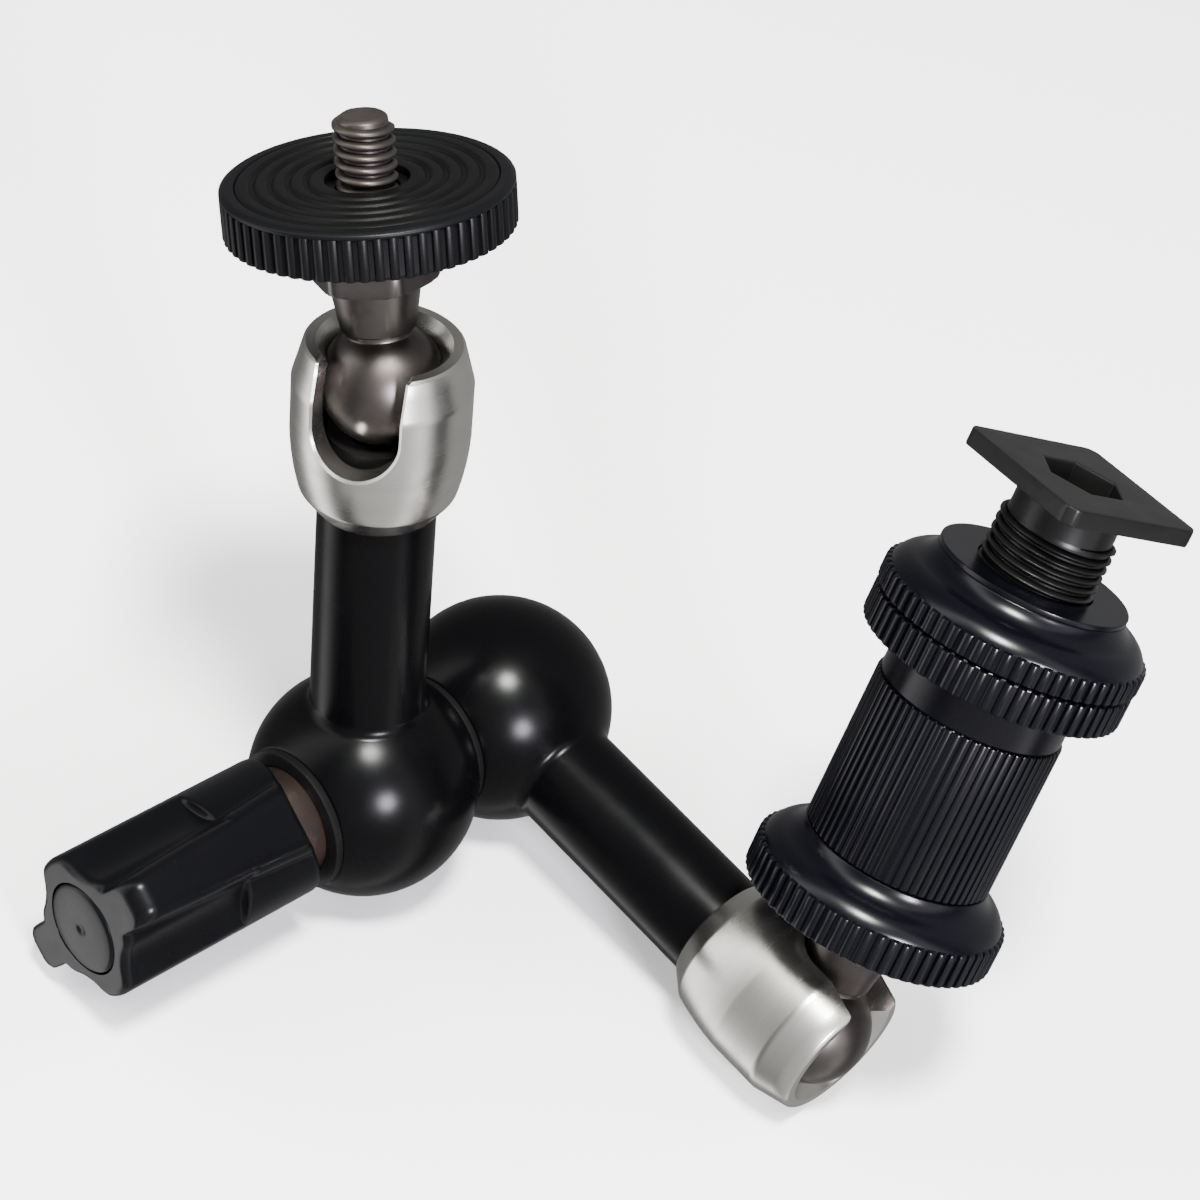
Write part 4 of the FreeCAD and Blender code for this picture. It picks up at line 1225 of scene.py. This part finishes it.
    @staticmethod
    def between(ends: np.ndarray, level: Point) -> np.ndarray:
        """The two points of the slot's wall at one level, as an array."""
        ends[:, 1] = np.copysign(level[1], ends[:, 1])
        return ends

    def build(self, shop: Shop) -> None:
        """Makes the sleeve and welds the seam below its slot."""
        mesh = self.surface().mesh(self.name)
        weld(mesh)
        finish = sleeve_finish(f"{self.name}_steel", self.place.z)
        shop.fit(f"{self.name}_look", mesh, self.place, finish, self.body,
                 [self.name])


def weld(mesh: bpy.types.Mesh) -> None:
    """Merges a mesh's double points and turns its faces outwards."""
    work = bmesh.new()
    work.from_mesh(mesh)
    bmesh.ops.remove_doubles(work, verts=work.verts, dist=2e-6)
    bmesh.ops.dissolve_degenerate(work, edges=work.edges, dist=1e-7)
    bmesh.ops.recalc_face_normals(work, faces=work.faces)
    work.to_mesh(mesh)
    work.free()
    mesh.set_sharp_from_angle(angle=SHARP_ANGLE)


@dataclass
class BallStud:
    """A ball with its neck, hexagon and screw."""

    name: str
    body: str
    place: Place
    thread_start: float
    ball: float = 6.6
    groove: tuple[float, float, float] = (3.45, 5.62, 6.15)
    neck: Point = (3.95, 6.35)
    neck_end: float = 4.8
    flange: tuple[float, float] = (11.5, 14.4)
    flats: float = 12.0
    corner: float = 6.72
    root: float = 2.55
    crest: float = 3.175
    pitch: float = 1.27
    screw_end: float = 28.9
    screw_chamfer: Point = (0.45, 0.35)
    ball_end: float = 3.75
    lowest_angle: float = -87
    flange_edge: tuple[Point, ...] = ((0.55, 0.0), (0.28, 0.05), (0.08, 0.22), (0.0, 0.5))
    flange_rim: tuple[Point, ...] = ((0.0, 0.35), (0.05, 0.14), (0.2, 0.04), (0.4, 0.0))

    def hexagon(self, angles: np.ndarray) -> np.ndarray:
        """Radius of the hexagon at each angle, its corners turned off."""
        lean = angles % (math.pi / 3) - math.pi / 6
        plain = self.flats / 2 / np.cos(lean)
        return smooth_min(plain, np.full_like(plain, self.corner), 0.25)

    def surface(self) -> Surface:
        """Ball, neck and hexagon as one closed surface."""
        waist, low, high = self.groove
        start = math.degrees(math.acos(self.ball_end / self.ball))
        rings = Rings()
        rings.add(0.0, -self.ball)
        rings.profile(arc((0, 0), self.ball, self.lowest_angle, start, 56))
        neck = soften([(self.ball_end, self.ball * math.sin(math.radians(start))),
                       (waist, low), (waist, high), self.neck,
                       (self.neck_end, self.flange[0])], 0.1, closed=False)
        rings.profile(neck[1:-1])
        rings.add(self.neck_end, self.flange[0])
        shape = self.hexagon(rings.angles)
        bottom, top = self.flange
        edges = [(inset, bottom + rise) for inset, rise in self.flange_edge]
        edges += [(inset, top - drop) for inset, drop in self.flange_rim]
        for inset, height in edges:
            rings.add(np.minimum(shape, self.corner - inset * 1.6) - inset * 0.25, height)
        rings.add(self.crest + 0.4, top)
        rings.add(0.0, top)
        return rings.surface()

    def screw(self) -> Surface:
        """The plain screw that the thread stands on."""
        inset, drop = self.screw_chamfer
        return turned([
            (0.0, self.flange[0]), (self.root, self.flange[0]),
            (self.root, self.screw_end - drop), (self.root - inset, self.screw_end),
            (0.0, self.screw_end)], 0.15, 128)

    def build(self, shop: Shop, threads: ScrewThread) -> None:
        """Makes the stud and its threaded screw."""
        screw = threads.on(self.screw(), self.root, self.crest - self.root, self.pitch,
                           self.thread_start, self.screw_end - 0.5)
        for part, mesh, finish in (("look", self.surface().mesh(self.name), STUD_STEEL),
                                   ("screw", screw, SCREW_STEEL)):
            shop.fit(f"{self.name}_{part}", mesh, self.place, finish, self.body,
                     [self.name])


@dataclass
class MountingDisc:
    """The ribbed disc on the upper screw and its rubber pad."""

    place: Place
    bore: float = 3.23
    hub: Point = (7.0, 14.6)
    bottom: float = 16.9
    top: float = 22.2
    radius: float = 14.9
    lip: float = 13.3
    floor: float = 21.4
    rib_count: int = 62
    rib_height: float = 0.5
    rib_width: float = 0.95
    pad_bore: float = 4.3
    lip_height: float = 0.95
    pad_rise: float = 0.1
    grooves: int = 4
    groove_depth: float = 0.36
    groove_half: Point = (0.45, 0.12)

    def build(self, shop: Shop, ribs: RimRibs) -> None:
        """Makes the disc and the pad."""
        crest, valley = self.radius, self.radius - self.rib_height
        band = self.top - self.lip_height
        core = turned([
            (self.bore, self.hub[1]), (self.hub[0], self.hub[1]), (self.hub[0], self.bottom),
            (valley - 0.1, self.bottom), (valley, self.bottom + 0.3), (valley, band),
            (crest - 0.04, band + 0.2), (crest, self.top - 0.35),
            (crest - 0.55, self.top), (self.lip + 0.12, self.top),
            (self.lip, self.top - 0.12), (self.lip, self.floor), (self.bore, self.floor),
        ], 0.2, 248)
        bar = rib(self.rib_width, self.rib_height, self.bottom + 0.05, band + 0.35)
        mesh = ribs.around(core, bar, self.rib_count, valley)
        shop.fit("mounting_disc_look", mesh, self.place, DISC_BLACK, "mounting_disc",
                 ["mounting_disc"])
        top = self.top + self.pad_rise
        step = (self.lip - self.pad_bore) / (self.grooves + 1)
        points = [(self.pad_bore, self.floor), (self.lip - 0.02, self.floor),
                  (self.lip - 0.02, top - 0.25), (self.lip - 0.4, top)]
        wide, narrow = self.groove_half
        for number in range(self.grooves, 0, -1):
            middle = self.pad_bore + step * number
            points += [(middle + wide, top), (middle + narrow, top - self.groove_depth),
                       (middle - narrow, top - self.groove_depth), (middle - wide, top)]
        points.append((self.pad_bore, top))
        pad = turned(points, 0.15, 224)
        shop.fit("grip_pad_look", pad.mesh("grip_pad"), self.place, PAD_RUBBER,
                 "mounting_disc", ["grip_pad"])


@dataclass
class ShoeAdapter:
    """Everything on the lower stud's screw, from the lock wheel to the shoe foot."""

    place: Place
    bore: float = 3.23
    stem_bore: float = 6.53
    barrel_radius: float = 10.7
    barrel: tuple[float, float] = (22.7, 41.3)
    barrel_floor: float = 33.0
    knurl_count: int = 64
    knurl_height: float = 0.32
    knurl_width: float = 0.82
    lock: tuple[float, float, float] = (14.5, 14.6, 19.0)
    jam: tuple[float, float, float] = (14.75, 45.9, 49.9)
    jam_hub: float = 10.4
    clamp: tuple[float, float, float] = (14.9, 50.0, 52.8)
    clamp_top: float = 56.5
    washer_top: float = 57.1
    rib_count: int = 62
    rib_height: float = 0.5
    rib_width: float = 1.0
    stem_root: float = 5.85
    stem_crest: float = 6.47
    stem_pitch: float = 1.1
    stem_neck: float = 5.77
    thread_end: float = 63.0
    hole: float = 2.6
    foot: tuple[float, float] = (66.6, 68.6)
    foot_half: float = 9.3
    foot_corner: float = 12.5
    socket_flats: float = 8.0
    socket_depth: float = 5.0
    thread_hidden: float = 3.5
    wheel_edge: Point = (0.1, 0.2)
    shoulder_step: float = 1.7
    shoulder_round: float = 3.0
    fillet_round: float = 2.6

    def dome(self, rim: float, rim_top: float, neck: float, neck_top: float) -> list[Point]:
        """A bell from a rim to a neck: a round shoulder, then a hollow fillet."""
        shoulder = (rim - self.shoulder_step, rim_top + self.shoulder_step)
        return (bend((rim, rim_top), shoulder, self.shoulder_round, 10)
                + bend(shoulder, (neck, neck_top), -self.fillet_round, 12)[1:])

    def rim(self, valley: float, low: float, high: float) -> list[Point]:
        """The outside of a wheel between its ribs, with its lower edge turned off."""
        inset, rise = self.wheel_edge
        return [(valley - inset, low), (valley, low + rise), (valley, high - rise)]

    def ribbed_wheel(self, shop: Shop, ribs: RimRibs, name: str, points: list[Point],
                     radius: float, low: float, high: float) -> None:
        """Makes one ribbed wheel from its turned profile."""
        core = turned(points, 0.18, 248)
        bar = rib(self.rib_width, self.rib_height, low + 0.08, high - 0.08)
        mesh = ribs.around(core, bar, self.rib_count, radius - self.rib_height)
        shop.fit(f"{name}_look", mesh, self.place, WHEEL_BLACK, name, [name])

    def domed_wheel(self, shop: Shop, ribs: RimRibs, name: str,
                    wheel: tuple[float, float, float], bore: float, neck_top: float) -> None:
        """Makes one ribbed wheel with a dome on top."""
        radius, low, high = wheel
        valley = radius - self.rib_height
        points = [(bore, low), *self.rim(valley, low, high),
                  *self.dome(valley - 0.05, high, self.barrel_radius, neck_top),
                  (bore, neck_top)]
        self.ribbed_wheel(shop, ribs, name, points, radius, low, high)

    def wheels(self, shop: Shop, ribs: RimRibs) -> None:
        """Makes the lock wheel, the jam wheel and the clamp wheel."""
        self.domed_wheel(shop, ribs, "lock_wheel", self.lock, self.bore, self.barrel[0])
        radius, low, high = self.jam
        valley = radius - self.rib_height
        points = [(self.stem_bore, self.barrel[1]), (self.jam_hub, self.barrel[1]),
                  (self.jam_hub, low), *self.rim(valley, low, high), (valley - 0.2, high),
                  (self.stem_bore, high)]
        self.ribbed_wheel(shop, ribs, "jam_wheel", points, radius, low, high)
        self.domed_wheel(shop, ribs, "clamp_wheel", self.clamp, self.stem_bore, self.clamp_top)

    def barrel_piece(self, shop: Shop, ribs: RimRibs) -> None:
        """Makes the knurled barrel."""
        low, high = self.barrel
        valley = self.barrel_radius - self.knurl_height
        core = turned([
            (self.bore, low), *self.rim(valley, low, high), (valley - 0.2, high),
            (self.stem_crest, high), (self.stem_crest, self.barrel_floor),
            (self.bore, self.barrel_floor),
        ], 0.12)
        bar = rib(self.knurl_width, self.knurl_height, low + 0.1, high - 0.1, 0.25)
        mesh = ribs.around(core, bar, self.knurl_count, valley)
        shop.fit("adapter_barrel_look", mesh, self.place, WHEEL_BLACK, "adapter",
                 ["adapter_barrel"])

    def square(self, angles: np.ndarray, inset: float) -> np.ndarray:
        """Radius of the foot's outline, a square with its corners turned off."""
        side = self.foot_half - inset
        lean = (angles + math.pi / 4) % (math.pi / 2) - math.pi / 4
        plain = side / np.cos(lean)
        return smooth_min(plain, np.full_like(plain, self.foot_corner - inset), 0.12)

    def socket(self, angles: np.ndarray, grow: float) -> np.ndarray:
        """Radius of the hexagon socket, two of its flats across X."""
        lean = (angles + math.pi / 6) % (math.pi / 3) - math.pi / 6
        return (self.socket_flats / 2 + grow) / np.cos(lean)

    def stem(self, shop: Shop, threads: ScrewThread) -> None:
        """Makes the stem with its thread, foot and hexagon socket."""
        rings = Rings(240)
        angles = rings.angles
        bottom, top = self.foot
        start = self.barrel_floor + 0.1
        rings.profile(soften([(self.hole, start), (self.stem_root - 0.4, start),
                              (self.stem_root, start + 0.4),
                              (self.stem_root, self.thread_end - 0.3),
                              (self.stem_neck, self.thread_end),
                              (self.stem_neck, bottom - 0.25),
                              (self.stem_neck + 0.25, bottom)], 0.15, closed=False))
        for inset, rise in ((0.3, 0.0), (0.08, 0.06), (0.0, 0.25)):
            rings.add(self.square(angles, inset), bottom + rise)
        for inset, rise in ((0.0, 0.28), (0.09, 0.07), (0.33, 0.0)):
            rings.add(self.square(angles, inset), top - rise)
        for grow, drop in ((0.35, 0.0), (0.1, 0.08), (0.0, 0.3)):
            rings.add(self.socket(angles, grow), top - drop)
        rings.add(self.socket(angles, 0.0), top - self.socket_depth)
        rings.add(self.hole + 0.1, top - self.socket_depth)
        rings.add(self.hole, top - self.socket_depth - 0.1)
        surface = rings.surface()
        mesh = threads.on(surface, self.stem_root, self.stem_crest - self.stem_root,
                          self.stem_pitch, self.washer_top - self.thread_hidden,
                          self.thread_end)
        shop.fit("shoe_stem_look", mesh, self.place.turned(FOOT_TURN), SHOE_BLACK,
                 "adapter", ["shoe_stem"], level=True)

    def washer(self, shop: Shop) -> None:
        """Makes the washer that presses on the shoe's rails."""
        surface = turned([
            (self.stem_bore, self.clamp_top), (self.barrel_radius, self.clamp_top),
            (self.barrel_radius, self.washer_top), (self.stem_bore, self.washer_top)], 0.15)
        shop.fit("pressure_washer_look", surface.mesh("pressure_washer"), self.place,
                 WHEEL_BLACK, "clamp_slide", ["pressure_washer"],
                 level=True)

    def build(self, shop: Shop, ribs: RimRibs, threads: ScrewThread) -> None:
        """Makes every piece of the adapter."""
        self.wheels(shop, ribs)
        self.barrel_piece(shop, ribs)
        self.washer(shop)
        self.stem(shop, threads)


# Studio

@dataclass
class Studio:
    """Pale floor, soft lights and the camera."""

    centre: Vector
    camera_offset: Vector = field(default_factory=lambda: Vector((167.1876, -202.4157, 273.1652)))
    right: Vector = field(default_factory=lambda: Vector((0.677058, 0.706526, 0.205945)))
    up: Vector = field(default_factory=lambda: Vector((-0.599089, 0.366614, 0.711820)))
    lens: float = 101.33
    surroundings: tuple[Point, ...] = (
        (0.0, 0.2), (0.07, 0.4), (0.12, 4.0), (0.16, 2.6), (0.2, 0.5), (0.233, 0.05),
        (0.28, 0.7), (0.40, 0.8), (0.48, 0.9), (0.53, 2.2), (0.56, 0.4), (0.583, 0.05),
        (0.64, 0.5), (0.86, 0.3), (1.0, 0.2),
    )
    floor_half: float = 3.0
    floor_drop: float = 0.0003
    floor_shade: float = 0.93

    def floor(self) -> None:
        """Lays the pale floor."""
        mesh = bpy.data.meshes.new("floor")
        half = self.floor_half
        mesh.from_pydata([(-half, -half, 0), (half, -half, 0), (half, half, 0), (-half, half, 0)],
                         [], [(0, 1, 2, 3)])
        material = bpy.data.materials.new("floor")
        material.use_nodes = True
        skin = material.node_tree.nodes["Principled BSDF"]
        skin.inputs["Base Color"].default_value = (*[self.floor_shade] * 3, 1.0)
        skin.inputs["Roughness"].default_value = 0.7
        mesh.materials.append(material)
        floor = placed("floor", mesh)
        floor.location.z = -self.floor_drop
        floor.visible_glossy = False

    def light(self, name: str, direction: Sequence[float], distance: float, size: float,
              power: float, colour: Colour = (1.0, 1.0, 1.0), mirrored: bool = True
              ) -> None:
        """Hangs one soft round light that faces the arm.

        Args:
            name: The light's name.
            direction: From the arm to the light.
            distance: How far away it hangs, in metres.
            size: Its width in metres.
            power: Its power in watts.
            colour: Its colour.
            mirrored: Whether glossy surfaces reflect it.
        """
        lamp = bpy.data.lights.new(name, "AREA")
        lamp.size = size
        lamp.energy = power
        lamp.color = colour
        lamp.shape = "DISK"
        holder = placed(name, lamp)
        away = Vector(direction).normalized()
        holder.location = self.centre + away * distance
        holder.visible_glossy = mirrored
        holder.rotation_euler = away.to_track_quat("Z", "Y").to_euler()

    def lights(self) -> None:
        """Hangs the lights and sets the soft surroundings."""
        self.light("overhead", (0.20, -0.21, 0.955), 0.75, 0.16, 18.0, (0.97, 1.0, 0.94))
        self.light("front", (0.85, -0.32, 0.42), 0.75, 0.15, 13.0, (0.94, 0.90, 1.0))
        self.light("wide left", (-0.7, -0.55, 0.75), 1.1, 0.7, 14.0, mirrored=False)
        self.light("wide right", (0.5, 0.75, 0.85), 1.2, 0.8, 14.0, mirrored=False)
        world = bpy.data.worlds.new("surroundings")
        world.use_nodes = True
        graph = Graph(world.node_tree)
        directions = graph.add("ShaderNodeTexCoord")["Generated"]
        around = graph.add("ShaderNodeTexGradient", {"Vector": directions},
                           gradient_type="RADIAL")
        cards = world.node_tree.nodes.new("ShaderNodeValToRGB")
        graph.feed(cards, "Fac", around["Fac"])
        stops = cards.color_ramp.elements
        first, *middle, last = self.surroundings
        for stop, (position, shade) in zip(stops, (first, last)):
            stop.position, stop.color = position, (shade, shade, shade, 1.0)
        for position, shade in middle:
            stops.new(position).color = (shade, shade, shade, 1.0)
        graph.feed(world.node_tree.nodes["Background"], "Color", cards.outputs["Color"])
        bpy.context.scene.world = world

    def camera(self) -> None:
        """Sets the camera at the photograph's viewing angle."""
        lens = bpy.data.cameras.new("camera")
        lens.lens = self.lens
        lens.sensor_width = 36.0
        lens.clip_start = 0.01
        holder = placed("camera", lens)
        back = self.right.cross(self.up)
        axes = Matrix((self.right, self.up, back)).transposed().to_4x4()
        holder.matrix_world = Matrix.Translation(
            self.centre + self.camera_offset * MM) @ axes
        bpy.context.scene.camera = holder

    def build(self) -> None:
        """Sets up the whole studio."""
        self.floor()
        self.lights()
        self.camera()


HIDDEN_SOLIDS = {
    **dict.fromkeys(("draw_bolt", "cone_wedge", "release_spring", "upper_push_rod",
                     "lower_push_rod", "upper_retaining_ring", "lower_retaining_ring"),
                    PLAIN_STEEL),
    **dict.fromkeys(("upper_ball_seat", "lower_ball_seat"), BORE_STEEL),
    "knob_insert": INSERT_BRASS,
}


def main() -> None:
    """Builds every piece in order."""
    logging.basicConfig(level=logging.INFO, format="%(name)s: %(message)s")
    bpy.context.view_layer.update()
    layout = Layout()
    shop = Shop()
    ribs = RimRibs()
    threads = ScrewThread()
    BallArm("upper_arm", layout.upper_arm, True).build(shop)
    BallArm("lower_arm", layout.lower_arm, False).build(shop)
    ElbowStack(layout.knob).build(shop)
    WingKnob(layout.knob).build(shop)
    SocketSleeve("upper_socket_sleeve", "upper_socket", layout.upper_socket).build(shop)
    SocketSleeve("lower_socket_sleeve", "lower_socket", layout.lower_socket).build(shop)
    upper = layout.upper_stud.turned(HEXAGON_TURN)
    BallStud("upper_ball_stud", "upper_stud", upper, 20.6).build(shop, threads)
    BallStud("lower_ball_stud", "lower_stud", layout.lower_stud, 26.5).build(shop, threads)
    MountingDisc(layout.upper_stud).build(shop, ribs)
    ShoeAdapter(layout.lower_stud).build(shop, ribs, threads)
    for node, finish in HIDDEN_SOLIDS.items():
        shop.dress(node, finish)
    Studio(layout.upper_centre).build()


if __name__ == "__main__":
    main()
